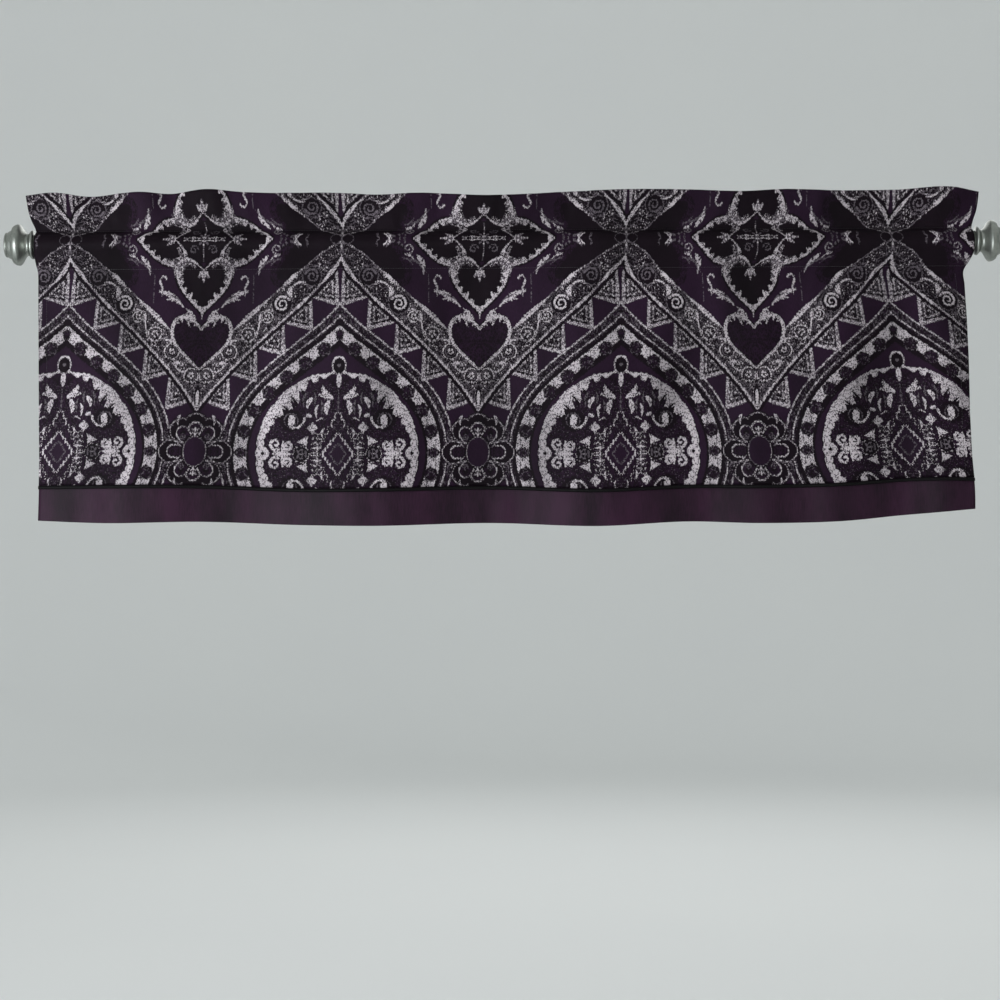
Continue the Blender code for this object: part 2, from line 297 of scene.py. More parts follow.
def through_rows(rows: tuple, place: str, value: str, where: Array) -> Array:
    """Read a smooth curve through a table's rows.

    Each stretch between two rows is a cubic that leaves and arrives at the slope of the row's neighbours.

    Args:
        rows: The table.
        place: Name of the column that says where a row lies.
        value: Name of the column to read.
        where: Places at which the curve is read, in metres.

    Returns:
        The curve's values, in metres, in the shape of `where`.
    """
    places = column(rows, place)
    values = column(rows, value)
    slopes = np.gradient(values, places)
    low = np.clip(np.searchsorted(places, where) - 1, 0, len(places) - 2)
    span = places[low + 1] - places[low]
    t = np.clip((where - places[low]) / span, 0.0, 1.0)
    return (
        values[low] * (2 * t**3 - 3 * t**2 + 1)
        + values[low + 1] * (3 * t**2 - 2 * t**3)
        + span * slopes[low] * (t**3 - 2 * t**2 + t)
        + span * slopes[low + 1] * (t**3 - t**2)
    )


def smooth_path(points: list, per_span: int = 8) -> Array:
    """Lead a smooth path through points.

    Between two points the path is a cubic curve, whose slope at a point is half the step between
    the point's two neighbours.

    Args:
        points: The (x, y) points, at least two.
        per_span: Steps between two points.

    Returns:
        An array of (x, y) rows.
    """
    given = np.asarray(points, dtype=float)
    padded = np.vstack([2 * given[0] - given[1], given, 2 * given[-1] - given[-2]])
    t = np.linspace(0.0, 1.0, per_span, endpoint=False)[None, :, None]
    before, start, end, after = (padded[k:len(given) - 1 + k, None, :] for k in range(4))
    path = 0.5 * (
        2 * start
        + (end - before) * t
        + (2 * before - 5 * start + 4 * end - after) * t**2
        + (3 * start - before - 3 * end + after) * t**3
    )
    return np.vstack([path.reshape(-1, 2), given[-1]])


def cubic_curve(control: tuple, steps: int = 48) -> Array:
    """Lead a cubic curve from its first control point to its fourth.

    The four points' weights are the terms of (1 - t + t) to the third power.

    Args:
        control: Four (u, d) points in mm.
        steps: Steps along the curve.

    Returns:
        An array of (u, d) rows.
    """
    t = np.linspace(0.0, 1.0, steps + 1)[:, None]
    weights = np.hstack([(1 - t) ** 3, 3 * t * (1 - t) ** 2, 3 * t**2 * (1 - t), t**3])
    return weights @ np.array(control, dtype=float)


def aside(path: Array, offset: float | Array) -> Array:
    """Move a path sideways, square to the way it runs; one that runs to -u and +d moves to +u and +d."""
    way = np.gradient(path, axis=0)
    way /= np.maximum(np.hypot(*way.T), TINY)[:, None]
    return path + np.reshape(offset, (-1, 1)) * np.stack([way[:, 1], -way[:, 0]], axis=-1)


def between(first: Array, second: Array) -> Array:
    """The closed outline between two paths that run the same way."""
    return np.vstack([first, second[::-1]])


def run_along(path: Array) -> Array:
    """How far along a path each of its points is."""
    return np.concatenate([[0.0], np.cumsum(np.linalg.norm(np.diff(path, axis=0), axis=-1))])


def run_down(middle: Array) -> Array:
    """How far along a hanging sheet each of its rows is, on the average of its columns, by Y and Z."""
    steps = np.linalg.norm(np.diff(middle, axis=0)[..., 1:], axis=-1).mean(axis=1)
    return np.concatenate([[0.0], np.cumsum(steps)])


def evenly(path: Array, count: int) -> Array:
    """Points at even distances along a path, both of its ends among them."""
    run = run_along(path)
    at = np.linspace(0.0, run[-1], count)
    return np.stack([np.interp(at, run, path[:, axis]) for axis in (0, 1)], axis=-1)


def round_steps(sides: int) -> Array:
    """Even angles once round a circle, in radians."""
    return np.arange(sides) * math.tau / sides


def oval(u: float, d: float, half_u: float, half_d: float) -> Array:
    """The outline of an ellipse, in mm."""
    angle = np.linspace(0.0, math.tau, 49)
    return np.stack([u + half_u * np.cos(angle), d + half_d * np.sin(angle)], axis=-1)


def heart(length: float, half: float) -> Array:
    """Half of a heart's outline, from its notch over one lobe to its tip.

    This is the well-known heart curve, a little plumper: the half width is the square of a sine, and
    the height along the axis a sum of four cosines. Rows are (along, aside) in mm, with the lobes' top at 0.
    """
    t = np.linspace(0.0, math.pi, 60)
    height = (13 * np.cos(t) - 5 * np.cos(2 * t) - 2 * np.cos(3 * t) - np.cos(4 * t)) / 16
    top, tip = height.max(), height.min()
    return np.stack([length * (top - height) / (top - tip), half * np.sin(t) ** 2], axis=-1)


def ripple(across: Array, along: Array, wave: float, seed: int) -> Array:
    """Smooth uneven ripples across the cloth, from -1 to 1.

    The sum of five sine waves whose lengths lie around `wave`, each leaning a little and starting
    at its own seeded phase.

    Args:
        across: Place across the cloth, in metres.
        along: Place along the cloth, in metres.
        wave: Mean wave length, in metres.
        seed: Seed of the phases.

    Returns:
        The ripples' height, from -1 to 1.
    """
    rng = np.random.default_rng(seed)
    total = np.zeros(np.broadcast(across, along).shape)
    for _ in range(5):
        length = wave * rng.uniform(0.6, 1.7)
        lean = rng.uniform(-0.35, 0.35)
        total += np.sin(math.tau * (across + lean * along) / length + rng.uniform(0, math.tau))
    return total / 5


@dataclass(frozen=True)
class Drape:
    """How the valance hangs: the surfaces that all its cloth pieces share, in metres."""

    cut_width: float = 1321 * MM
    cloth_thick: float = 1.5 * MM
    header_seam: float = 17 * MM
    pocket_seam: float = -34.6 * MM
    seam_web: float = 3.5 * MM
    pocket_inside: float = 15.2 * MM
    rod_radius: float = 14 * MM
    header_gap: float = 1.0 * MM
    header_mouth: float = 2.2 * MM
    mouth_reach: float = 40 * MM
    fold_growth: float = 0.8
    hem_height: float = -388 * MM
    front_slack: float = 0.035
    side_hem: float = 15 * MM
    side_hem_extra: float = 1.2 * MM
    piping_radius: float = 2.5 * MM
    gap: float = 0.4 * MM

    def places(self, steps: int) -> Array:
        """Even places across the cloth, from its left edge to its right one."""
        return np.linspace(-0.5, 0.5, steps + 1) * self.cut_width

    def hung(self, across: Array, y: Array, z: Array) -> Array:
        """Put points of the cloth into the frame.

        X is the place across, fitted between the two side edges at the point's height.

        Args:
            across: Place across the flat cloth.
            y: Depth.
            z: Height.

        Returns:
            Points, with X, Y and Z along the last axis.
        """
        across, y, z = np.broadcast_arrays(across, y, z)
        left = through_rows(SIDES, "height", "left", z)
        right = through_rows(SIDES, "height", "right", z)
        return np.stack([left + (right - left) * (across / self.cut_width + 0.5), y, z], axis=-1)

    def fold_back(self, across: Array, height: Array) -> Array:
        """Y of the single layer's back.

        The folds' depth passes from the pocket's row to the hem's as the fall to the power 0.8.

        Args:
            across: Place across the flat cloth.
            height: Height.

        Returns:
            The depth Y.
        """
        fall = (self.pocket_seam - height) / (self.pocket_seam - self.hem_height)
        fall = np.clip(fall, 0.0, 1.0) ** self.fold_growth
        at_pocket = through_rows(FOLDS, "pocket_across", "pocket_depth", across)
        at_hem = through_rows(FOLDS, "hem_across", "hem_depth", across)
        return -(at_pocket * (1 - fall) + at_hem * fall)

    def seam_height(self, across: Array) -> Array:
        """Height of the piped seam's middle."""
        return through_rows(LOWER_EDGE, "across", "seam", across)

    def hem_line(self, across: Array) -> Array:
        """Height of the band's lower fold."""
        return through_rows(LOWER_EDGE, "across", "hem", across)

    def pocket_line(self, steps: int) -> tuple[Array, Array]:
        """Middle line of the pocket's front layer, from the pocket seam to the header seam.

        It runs straight from the lower seam to the circle around the rod, follows the circle, and
        leaves it straight to the upper seam. Steps are of equal length.

        Args:
            steps: Number of steps.

        Returns:
            Points (y, z) of the layer's inside, and the (y, z) directions out of the cloth.
        """
        inside = self.pocket_inside
        start = math.acos(inside / -self.pocket_seam)
        end = math.pi - math.acos(inside / self.header_seam)
        lower = math.sqrt(self.pocket_seam**2 - inside**2)
        arc = inside * (end - start)
        upper = math.sqrt(self.header_seam**2 - inside**2)
        path = np.linspace(0.0, lower + arc + upper, steps + 1)
        angle = start + np.clip((path - lower) / inside, 0.0, end - start)
        outward = np.stack([-np.sin(angle), -np.cos(angle)], axis=-1)
        # The tangent lines: a step back or forth along the circle's own direction
        along = np.stack([-np.cos(angle), np.sin(angle)], axis=-1)
        beyond = np.minimum(path - lower, 0.0) + np.maximum(path - lower - arc, 0.0)
        return inside * outward + beyond[:, None] * along, outward


@dataclass
class DamaskChart:
    """The weaving chart of a traditional ogee damask, drawn by formula on a quarter of its repeat.

    u runs in mm from the palmettes' axis to the medallions' axis and d in mm from the palmettes'
    level down to the medallions' level. The design is mirrored about all four sides of the quarter.
    """

    half_across: float = 196.4
    half_down: float = 297.3
    grain: float = 0.33
    scroll_pitch: float = 7.0
    tones: Array = field(init=False)
    u: Array = field(init=False)
    d: Array = field(init=False)
    noise: Array = field(init=False)
    scroll: Array = field(init=False)

    def __post_init__(self) -> None:
        """Lay out the empty quarter, all plum, with the seeded fields for grained and scrolled fills."""
        self.u = (np.arange(int(self.half_across / self.grain)) + 0.5) * self.grain
        self.d = (np.arange(int(self.half_down / self.grain)) + 0.5) * self.grain
        rows, columns = len(self.d), len(self.u)
        self.tones = np.full((rows, columns), int(Tone.PLUM), dtype=np.uint8)
        rng = np.random.default_rng(SEED)
        coarse = rng.random((rows // 5 + 2, columns // 3 + 2))
        self.noise = np.repeat(np.repeat(coarse, 5, axis=0), 3, axis=1)[:rows, :columns]
        # Scrolls: noise that keeps only waves of about one pitch, whose zero lines wind like filigree
        wave = np.fft.rfft2(rng.standard_normal((rows, columns)))
        down_rate = np.fft.fftfreq(rows, self.grain)[:, None]
        rate = np.hypot(down_rate, np.fft.rfftfreq(columns, self.grain)[None, :])
        wave *= np.exp(-(((rate - 1 / self.scroll_pitch) / 0.03) ** 2))
        self.scroll = np.fft.irfft2(wave, s=(rows, columns))
        self.scroll /= self.scroll.std()

    def window(self, points: Array, margin: float = 0.0) -> tuple[Window, Array, Array]:
        """Find the part of the chart that holds some points.

        Args:
            points: (u, d) rows, in mm.
            margin: Extra width all round, in mm.

        Returns:
            The part's rows and columns, its u as a row and its d as a column.
        """
        low = np.maximum(np.floor((points.min(axis=0) - margin) / self.grain).astype(int), 0)
        high = np.maximum(np.ceil((points.max(axis=0) + margin) / self.grain).astype(int) + 1, 0)
        where = slice(low[1], high[1]), slice(low[0], high[0])
        return where, self.u[where[1]][None, :], self.d[where[0]][:, None]

    def put(self, where: Window, inside: Array, inks: tuple[Ink, ...]) -> None:
        """Paint the cells inside a shape.

        Args:
            where: Rows and columns of the part of the chart that holds the shape.
            inside: Its cells that lie in the shape.
            inks: The inks, one over the other.
        """
        for ink in inks:
            mask = inside
            if ink.weave is Weave.GRAIN:
                mask = inside & (self.noise[where] < ink.share)
            elif ink.weave is Weave.SCROLL:
                mask = inside & (np.abs(self.scroll[where]) < ink.share)
            self.tones[where][mask] = int(ink.tone)

    def stroke(self, path: Array, width: float | list, *inks: Ink) -> None:
        """Paint along a path: cells closer to it than half its width there.

        Args:
            path: (u, d) rows, in mm.
            width: Its width in mm, or a list of widths spread evenly along it.
            inks: The inks, one over the other.
        """
        path = np.asarray(path, dtype=float)
        given = np.ravel(np.asarray(width, dtype=float))
        widths = np.interp(np.linspace(0, 1, len(path)), np.linspace(0, 1, len(given)), given)
        where, u, d = self.window(path, widths.max() / 2)
        inside = np.zeros((d.size, u.size), dtype=bool)
        for start, end, first, last in zip(path[:-1], path[1:], widths[:-1], widths[1:]):
            step = end - start
            length = max(float(step @ step), TINY)
            t = np.clip(((u - start[0]) * step[0] + (d - start[1]) * step[1]) / length, 0.0, 1.0)
            away = np.hypot(u - start[0] - t * step[0], d - start[1] - t * step[1])
            inside |= away < (first + (last - first) * t) / 2
        self.put(where, inside, inks)

    def fill(self, outline: Array, *inks: Ink) -> None:
        """Paint the inside of a closed outline: cells from which a ray crosses it an odd number of times.

        Args:
            outline: (u, d) rows, in mm.
            inks: The inks, one over the other.
        """
        outline = np.asarray(outline, dtype=float)
        where, u, d = self.window(outline)
        inside = np.zeros((d.size, u.size), dtype=bool)
        for start, end in zip(outline, np.roll(outline, -1, axis=0)):
            crosses = (start[1] > d) != (end[1] > d)
            rise = end[1] - start[1] if end[1] != start[1] else TINY
            inside ^= crosses & (u < start[0] + (d - start[1]) * (end[0] - start[0]) / rise)
        self.put(where, inside, inks)

    def disc(self, u: float, d: float, radius: float, *inks: Ink) -> None:
        """Paint a round spot."""
        self.stroke([(u, d), (u, d)], 2 * radius, *inks)

    def flower(self, u: float, d: float, reach: float, petals: int, radius: float, *inks: Ink) -> None:
        """Paint a ring of round petals, evenly spaced at `reach` from a middle."""
        for angle in round_steps(petals) + 0.3:
            self.disc(u + reach * math.cos(angle), d + reach * math.sin(angle), radius, *inks)

    def curl(
        self, u: float, d: float, radius: float, start: float, turns: float, width: float, *inks: Ink
    ) -> None:
        """Paint a spiral that winds in to its middle: its radius shrinks evenly as its angle grows.

        Args:
            u: Middle, across.
            d: Middle, down.
            radius: Outer radius in mm.
            start: Angle of its outer end in degrees, from +u towards +d.
            turns: Turns to the middle; a negative number winds the other way.
            width: Width in mm at the outer end; it halves towards the middle.
            inks: The inks, one over the other.
        """
        share = np.linspace(0.0, 1.0, 40)
        angle = math.radians(start) + math.tau * turns * share
        reach = radius * (1 - 0.82 * share)
        path = np.stack([u + reach * np.cos(angle), d + reach * np.sin(angle)], axis=-1)
        self.stroke(path, [width, 0.55 * width], *inks)

    def leaf(
        self, u: float, d: float, angle: float, length: float, width: float, bow: float, *inks: Ink
    ) -> None:
        """Paint a leaf on an arc, pointed at both ends: its width is a half sine wave.

        Args:
            u: Its root, across.
            d: Its root, down.
            angle: Where it points, in degrees from +u towards +d.
            length: Its length in mm.
            width: Its greatest width in mm.
            bow: How far its middle line bends aside, as a share of its length.
            inks: The inks, one over the other.
        """
        share = np.linspace(0.0, 1.0, 17)
        turn = math.radians(angle)
        way = np.array([math.cos(turn), math.sin(turn)])
        bend = 4 * bow * share * (1 - share)
        path = (u, d) + length * (share[:, None] * way + bend[:, None] * (-way[1], way[0]))
        along = 0.03 + 0.94 * share
        self.stroke(path, width * np.sin(math.pi * along**0.8), *inks)

    def teeth(self, path: Array, pitch: float, height: float, *inks: Ink) -> None:
        """Paint small uneven triangles on one side of a path.

        Args:
            path: (u, d) rows, in mm.
            pitch: Distance between teeth.
            height: Their mean height; a negative one puts them on the path's other side.
            inks: The inks, one over the other.
        """
        roots = evenly(path, max(int(run_along(path)[-1] / pitch), 1) + 1)
        for count, (before, ahead) in enumerate(zip(roots[:-1], roots[1:])):
            way = (ahead - before) / max(float(np.hypot(*(ahead - before))), TINY)
            reach = height * (0.75 + 0.5 * ((count * 0.618) % 1))
            self.fill([before, ahead, (before + ahead) / 2 + reach * np.array([way[1], -way[0]])], *inks)

    def palmette(self) -> None:
        """Paint the cross of four heart leaves with its centre, its corner sprays and its side sprays."""
        self.stroke([(0, 0), (34, 34)], [70, 26], BLACK)
        for near, length, half, upright in ((26.4, 69.6, 37.0, False), (28.6, 74.9, 38.6, True)):
            edge = heart(length, half)
            both = between(edge, edge * (1, -1))
            turn = slice(None, None, -1) if upright else slice(None)
            outline, closed = ((path + (near, 0))[:, turn] for path in (edge, both))
            inward = -1.0 if upright else 1.0
            lobe, point = outline[9:36], outline[28:]
            self.stroke(outline, 9.0, BLACK)
            self.fill(closed, BLACK)
            # Scrolls and speckle hug the lobes from inside, then the lobes' crescents and the plain edge
            hug = aside(lobe, inward * 5.5)
            self.stroke(hug, [3.0, 9.0, 10.0, 8.0, 3.0], SHADE.scroll(0.6))
            self.stroke(hug, [2.0, 7.0, 8.0, 6.0, 2.0], SILVER.grain(0.26))
            self.stroke(outline, 2.0, SHADE)
            self.stroke(lobe, [2.6, 5.6, 6.6, 5.6, 3.0], SHADE)
            self.stroke(lobe, [1.6, 4.4, 5.4, 4.6, 2.6], SILVER.grain(0.8))
            self.stroke(point, 3.2, SILVER.grain(0.86))
            self.teeth(point, 10.4, inward * 7.4, SILVER.grain(0.84))
            self.stroke(outline[:11], 1.8, SILVER.grain(0.5))
            # A bud of three small leaves in the middle
            root = (0.0, near + 15.0) if upright else (near + 15.0, 0.0)
            axis = 90.0 if upright else 0.0
            for swing, size in ((0, 20.0), (34, 15.0), (-34, 15.0)):
                self.leaf(*root, axis + swing, size, 5.4, 0.0, SHADE, SILVER.grain(0.5))
        # The cross's centre: four stems and a curl on the diagonal
        self.stroke([(0, 0), (0, 31)], [2.0, 1.2], SHADE, SILVER.grain(0.4))
        self.stroke([(0, 2), (29, 2)], [1.0, 2.2], SILVER.grain(0.7))
        self.curl(14.0, 15.0, 6.6, 200, 1.2, 2.0, SHADE)
        self.disc(5.0, 6.0, 2.0, SHADE)
        for row in CORNER_SPRAYS + SIDE_SPRAYS:
            self.leaf(*row)
        self.curl(57.0, 58.0, 8.0, 60, -0.8, 2.6, SILVER.grain(0.9))
        self.curl(104.5, 14.0, 8.0, 60, 1.3, 2.4, SHADE, SILVER.grain(0.4))
        self.stroke([(72, 52), (72, 90)], 1.2, SHADE.grain(0.5))
        self.flower(113.0, 4.5, 4.6, 5, 1.6, SHADE)

    def strap(self) -> None:
        """Paint the strapwork: a broad scrolled band on an ogee line, from the crossing to its point."""
        centre = cubic_curve(STRAP_LINE)
        share = np.linspace(0.0, 1.0, len(centre))
        half = 3 + 15 * (1 - np.exp(-share / 0.08)) + 3 * share**4
        outer, inner = aside(centre, half), aside(centre, -half)
        self.stroke(outer + (3.2, 2.4), 4.0, BLACK)
        self.fill(between(outer, inner), BLACK, SHADE.scroll(0.3), SILVER.grain(0.05))
        self.fill(between(outer[21:], inner[21:]), SHADE.grain(0.24), SILVER.grain(0.07))
        # A running vine swings from edge to edge as a sine wave, with a leaf in each of its bays
        vine = aside(centre, 0.5 * half * np.sin(math.tau * 5.5 * share))
        self.stroke(vine[8:42], [1.6, 3.0, 1.8, 3.0, 1.8, 3.0, 1.8, 3.0], SHADE, SILVER.grain(0.76))
        turn = 1.0
        for u, d in centre[12:42:4]:
            self.leaf(u + 7 * turn, d + 7 * turn, 135 + 40 * turn, 15.0, 5.4, 0.15, SILVER.grain(0.84))
            turn = -turn
        # Two scrolls near the crossing, then roundels along the centre line
        scrolls = ((0.24, 12.0, 200, 1.5, SHADE), (0.42, 13.0, 330, -1.7, SILVER))
        for place, radius, start, turns, ink in scrolls:
            u, d = centre[int(place * len(centre))]
            self.disc(u, d, radius + 2.4, SHADE.grain(0.7))
            self.disc(u, d, radius + 0.8, BLACK)
            self.curl(u, d, radius - 1.6, start, turns, 3.2, ink)
        for place, radius in ((0.51, 7.4), (0.6, 9.6), (0.71, 10.4), (0.82, 9.8)):
            self.roundel(*centre[int(place * len(centre))], radius)
        # A leaf on the axis ends the strap; a speckled line under long pale leaves runs along its edges
        self.leaf(0.0, 206.0, 90, 34.0, 9.0, 0.0, BLACK)
        self.leaf(0.0, 212.0, 90, 28.0, 5.0, 0.0, SILVER.grain(0.7))
        self.stroke(outer, 2.3, SHADE, SILVER.grain(0.6))
        self.stroke(inner, 2.0, SHADE, SILVER.grain(0.2))
        self.stroke(outer[22:], 2.9, SILVER.grain(0.8))
        self.stroke(inner[34:], 2.6, SILVER.grain(0.7))
        leaves = ((outer, 2, 12, 5.6), (outer, 14, 21, 4.6), (inner, 12, 19, 5.6), (inner, 21, 32, 6.2))
        for edge, low, high, width in leaves:
            bulge = width * np.sin(np.linspace(0.1, math.pi - 0.1, high - low))
            self.stroke(edge[low:high], bulge, SILVER.grain(0.86))
        self.disc(188, 0, 8.0, SHADE.grain(0.6))
        self.disc(188, 0, 6.4, BLACK)
        self.stroke([(self.half_across, 4), (self.half_across, 14)], 2.0, SILVER.grain(0.6))

    def roundel(self, u: float, d: float, radius: float) -> None:
        """Paint a roundel: a dark disc with a pale rim, a thin ring and a flower of five petals."""
        inks = (BLACK, SILVER.grain(0.7), BLACK, SHADE.grain(0.8), BLACK)
        for more, ink in zip((1.6, 1.1, -1.1, -2.6, -3.8), inks):
            self.disc(u, d, radius + more, ink)
        self.flower(u, d, 3.4, 5, 1.7, SILVER.grain(0.85))

    def volutes(self) -> None:
        """Paint the heart that rises from the point between the straps, feathered inside its lobes."""
        edge = heart(74.0, 42.0)[:, ::-1] + (0, 109)
        self.fill(np.vstack([edge, (0, 183), (0, 130)]), BLACK, PLUM.grain(0.5))
        self.stroke(edge, 6.0, BLACK)
        self.stroke(edge, [2.4, 4.6, 4.8, 3.8, 3.0], SILVER.grain(0.86))
        self.teeth(edge[6:26], 7.4, -6.0, SILVER.grain(0.8))
        for angle in (100, 128):
            self.leaf(20.0, 100.0, angle, 24.0, 4.4, -0.12, SILVER.grain(0.84))

    def stairs(self) -> None:
        """Paint the stepped triangles outside the strap: each spans a stretch of its edge."""
        edge = aside(cubic_curve(STRAP_LINE), 20.0)
        steps = evenly(edge[edge[:, 0] > 5][6:], 6)
        for apex, foot in zip(steps[:-1], steps[1:]):
            corner = np.array([apex[0] + 1.0, foot[1] + 9.0])
            triangle = np.array([apex, foot, corner, apex])
            middle = triangle[:3].sum(axis=0) / 3
            legs = np.vstack([np.linspace(foot, corner, 10), np.linspace(corner, apex, 10)])
            self.fill(triangle[:3], BLACK, SHADE.grain(0.24))
            self.stroke(legs, [3.0, 5.0, 6.0, 5.0, 3.0], SHADE)
            self.stroke(legs, [2.0, 4.2, 5.4, 4.2, 2.2], SILVER.grain(0.66))
            self.teeth(legs, 6.4, 4.0, SILVER.grain(0.6))
            self.stroke(middle + (triangle - middle) * 0.5, 2.6, SHADE.grain(0.8), SILVER.grain(0.4))
            self.disc(*middle, 1.8, SILVER.grain(0.7))

    def arch(self) -> None:
        """Paint the arch over the medallion: a grained band, a pale ring of dark rosettes, a plain dark band.

        All its lines run beside one ogee line, at even distances from it.
        """
        line = cubic_curve(ARCH_LINE)
        share = np.linspace(1.0, 0.0, len(line)) ** 2
        offsets = ((13.4, 2.0), (28.0, 6.0), (39.4, 4.0))
        inner, beads, rim = (aside(line, near + more * share) for near, more in offsets)
        side = np.array([(210.0, 310.0), (210.0, 90.0)])
        self.fill(np.vstack([line, side]), BLACK)
        self.fill(between(line, inner), PLUM.grain(0.4), SHADE.grain(0.2))
        self.stroke(line, 2.2, SHADE, SILVER.grain(0.72))
        self.stroke(aside(inner, -3.6), 2.0, SHADE, SILVER.grain(0.6))
        self.stroke(aside(inner, 2.2), 4.0, BLACK)
        # Pale webs: the ring's outer half, broader at its foot, from which the rosettes are then cut
        self.fill(between(aside(inner, 5.0), aside(beads, 2.6)), SILVER.grain(0.9))
        self.stroke(beads[30:], [2.0, 12.0, 15.0, 16.0], SILVER.grain(0.86))
        for u, d in evenly(beads, 9):
            self.flower(u, d, 6.4, 6, 4.2, BLACK)
            self.disc(u, d, 9.6, SHADE.grain(0.4))
            self.disc(u, d, 8.4, BLACK)
            self.disc(u, d, 7.8, PLUM.grain(0.5), SHADE.grain(0.12))
        self.fill(np.vstack([rim, side]), PLUM)

    def medallion(self) -> None:
        """Paint the medallion: a pale leafy border around dark arabesques, with a lozenge at its heart."""
        hub_u, hub_d = self.half_across, self.half_down

        def at(degrees: Array, radius: Array) -> Array:
            """Points around the medallion's middle, at 180 degrees to its left and at 270 above it."""
            angle = np.radians(degrees)
            return np.stack([hub_u + radius * np.cos(angle), hub_d + radius * np.sin(angle)], axis=-1)

        round_about = np.linspace(178.0, 272.0, 95)
        lobed = 111.5 + 3.4 * np.abs(np.sin(np.radians(round_about - 180) * 9))
        self.fill(np.vstack([at(round_about, lobed), (210, 299)]), BLACK)
        self.fill(np.vstack([at(round_about, lobed - 4), (210, 299)]), PLUM.grain(0.5))
        self.fill(np.vstack([at(round_about, lobed - 12), (210, 270)]), SHADE.scroll(0.05))
        # The border: a line that swells into a broad mass of fanned leaves, scalloped on both sides
        border = at(round_about, lobed - 2.4)[4:90]
        self.stroke(border, [1.8, 2.0, 3.4, 5.0, 5.0, 4.4, 3.4, 2.2], SILVER)
        fan = np.linspace(199.0, 247.0, 80)
        swell = np.sin(math.pi * (fan - 199) / 48) ** 0.7
        scallop = np.abs(np.sin(math.pi * (fan - 199) / 9.6))
        outer, inner = at(fan, 112.0 + 2 * scallop), at(fan, 109 - swell * (8 + 14 * scallop))
        self.fill(between(outer, inner), SHADE, SILVER.grain(0.86))
        for degrees in np.arange(208.6, 246.0, 9.6):
            self.leaf(*at(degrees, 86.0), degrees + 10, 20.0, 3.6, 0.12, BLACK)
        berries = ((180, 9.6), (187.5, 5.4), (193, 5.0), (199, 6.4), (252, 4.6), (259, 3.6))
        for degrees, radius in berries:
            self.disc(*at(degrees, 112.0 - 0.8 * radius), radius, SILVER)
        self.disc(*at(180.0, 104.0), 2.6, BLACK)
        # Leaves scattered beside the axis
        for row in MEDALLION_LEAVES:
            self.leaf(*row)
        # The dark flower with its pale heart, and the crescent that cradles it
        self.flower(131.0, 251.0, 12.5, 10, 4.0, BLACK)
        self.disc(131, 251, 12.5, BLACK)
        self.disc(131, 251, 10.4, SHADE.grain(0.6))
        self.disc(131, 251, 8.8, BLACK)
        self.stroke([(132, 248.5), (132, 253.5)], 9.4, SILVER)
        self.curl(131.0, 251.0, 19.0, -10, 0.42, 3.4, SILVER.grain(0.9))
        # Two scrolls wound against each other on the medallion's level, a lozenge and a wedge beside them
        self.curl(110.0, 283.5, 8.6, 60, 1.15, 4.4, SILVER)
        self.curl(127.0, 285.0, 6.6, 130, -1.1, 4.2, SILVER)
        self.leaf(106.0, 296.5, 0, 26.0, 5.6, 0.0, SILVER)
        self.leaf(121.0, 298.0, 270, 20.0, 5.6, 0.0, SILVER)
        self.fill([(161, 253), (168, 261), (161, 269), (154, 261)], SILVER.grain(0.92))
        self.fill([(155, 271), (140, 281), (154, 286)], SILVER.grain(0.92))
        rings = ((12.2, SILVER.grain(0.4)), (10.6, BLACK), (8.0, SHADE.scroll(0.5)), (1.8, SILVER))
        for radius, ink in rings:
            self.disc(146, hub_d, radius, ink)
        # The ladder: a dashed upright with rungs
        self.stroke([(168, 268), (168, 299)], 1.6, SILVER.grain(0.7))
        for d in np.arange(270.0, 299.0, 6.6):
            self.leaf(159.0, d, 0, 15.0, 2.2, -0.1, SILVER.grain(0.74))
            self.leaf(161.0, d + 3.3, 0, 11.0, 1.6, -0.1, SHADE.grain(0.8))
        # Stepped lozenges at the heart, one in the other
        steps = np.arange(7) / 6
        self.fill([(172, hub_d), (hub_u, 268), (200, 299)], PLUM)
        lozenges = (
            (28, 56, 2.0, SILVER.grain(0.36)),
            (20.5, 27, 2.4, SILVER.grain(0.62)),
            (11, 15, 1.6, SHADE.grain(0.8)),
        )
        for half_u, half_d, width, ink in lozenges:
            u, d = hub_u - half_u * (1 - steps), hub_d - half_d * steps
            self.stroke(np.stack([np.repeat(u, 2)[:-1], np.repeat(d, 2)[1:]], axis=-1), width, ink)
        # The oval bud that crowns the medallion, with a drop under it
        bud = oval(hub_u, 176.0, 9.4, 12.0)
        self.fill(bud, BLACK)
        self.stroke(bud, 2.2, SILVER.grain(0.85))
        self.disc(hub_u, 176, 2.6, SHADE)
        self.leaf(hub_u, 188.0, 90, 18.0, 8.0, 0.0, SILVER)
        self.stroke([(hub_u, 210), (hub_u, 238)], [1.4, 2.4], SHADE.grain(0.7))

    def rosette(self) -> None:
        """Paint the eight-lobed rosette under the strap's point, with its oval eye.

        The outline of lobes that run together is left by larger discs under dark ones, and the same
        way of painting gives each lobe its own inner line. The lobes sit on an ellipse.
        """
        level = self.half_down
        lobes = [(34 * math.sin(turn), 37 * math.cos(turn)) for turn in np.radians([0, 36, 90])]
        for spare, ink in ((3.2, BLACK), (1.5, SHADE), (1.5, SILVER.grain(0.5)), (0.0, BLACK)):
            for u, rise in lobes:
                self.disc(u, level - rise, 15.2 + spare, ink)
        for u, rise in lobes:
            nook = [(0.86 * u, level - 0.86 * rise), (0.72 * u, level - 0.72 * rise)]
            self.stroke(nook, 20.0, SHADE, SILVER.grain(0.6))
            self.stroke(nook, 16.4, BLACK)
            self.stroke(nook, 15.0, PLUM.grain(0.5))
        eye = oval(0.0, level, 15.4, 20.6)
        self.stroke(eye, 7.0, BLACK)
        self.stroke(eye, 1.8, SHADE, SILVER.grain(0.4))
        self.fill(eye, PLUM)
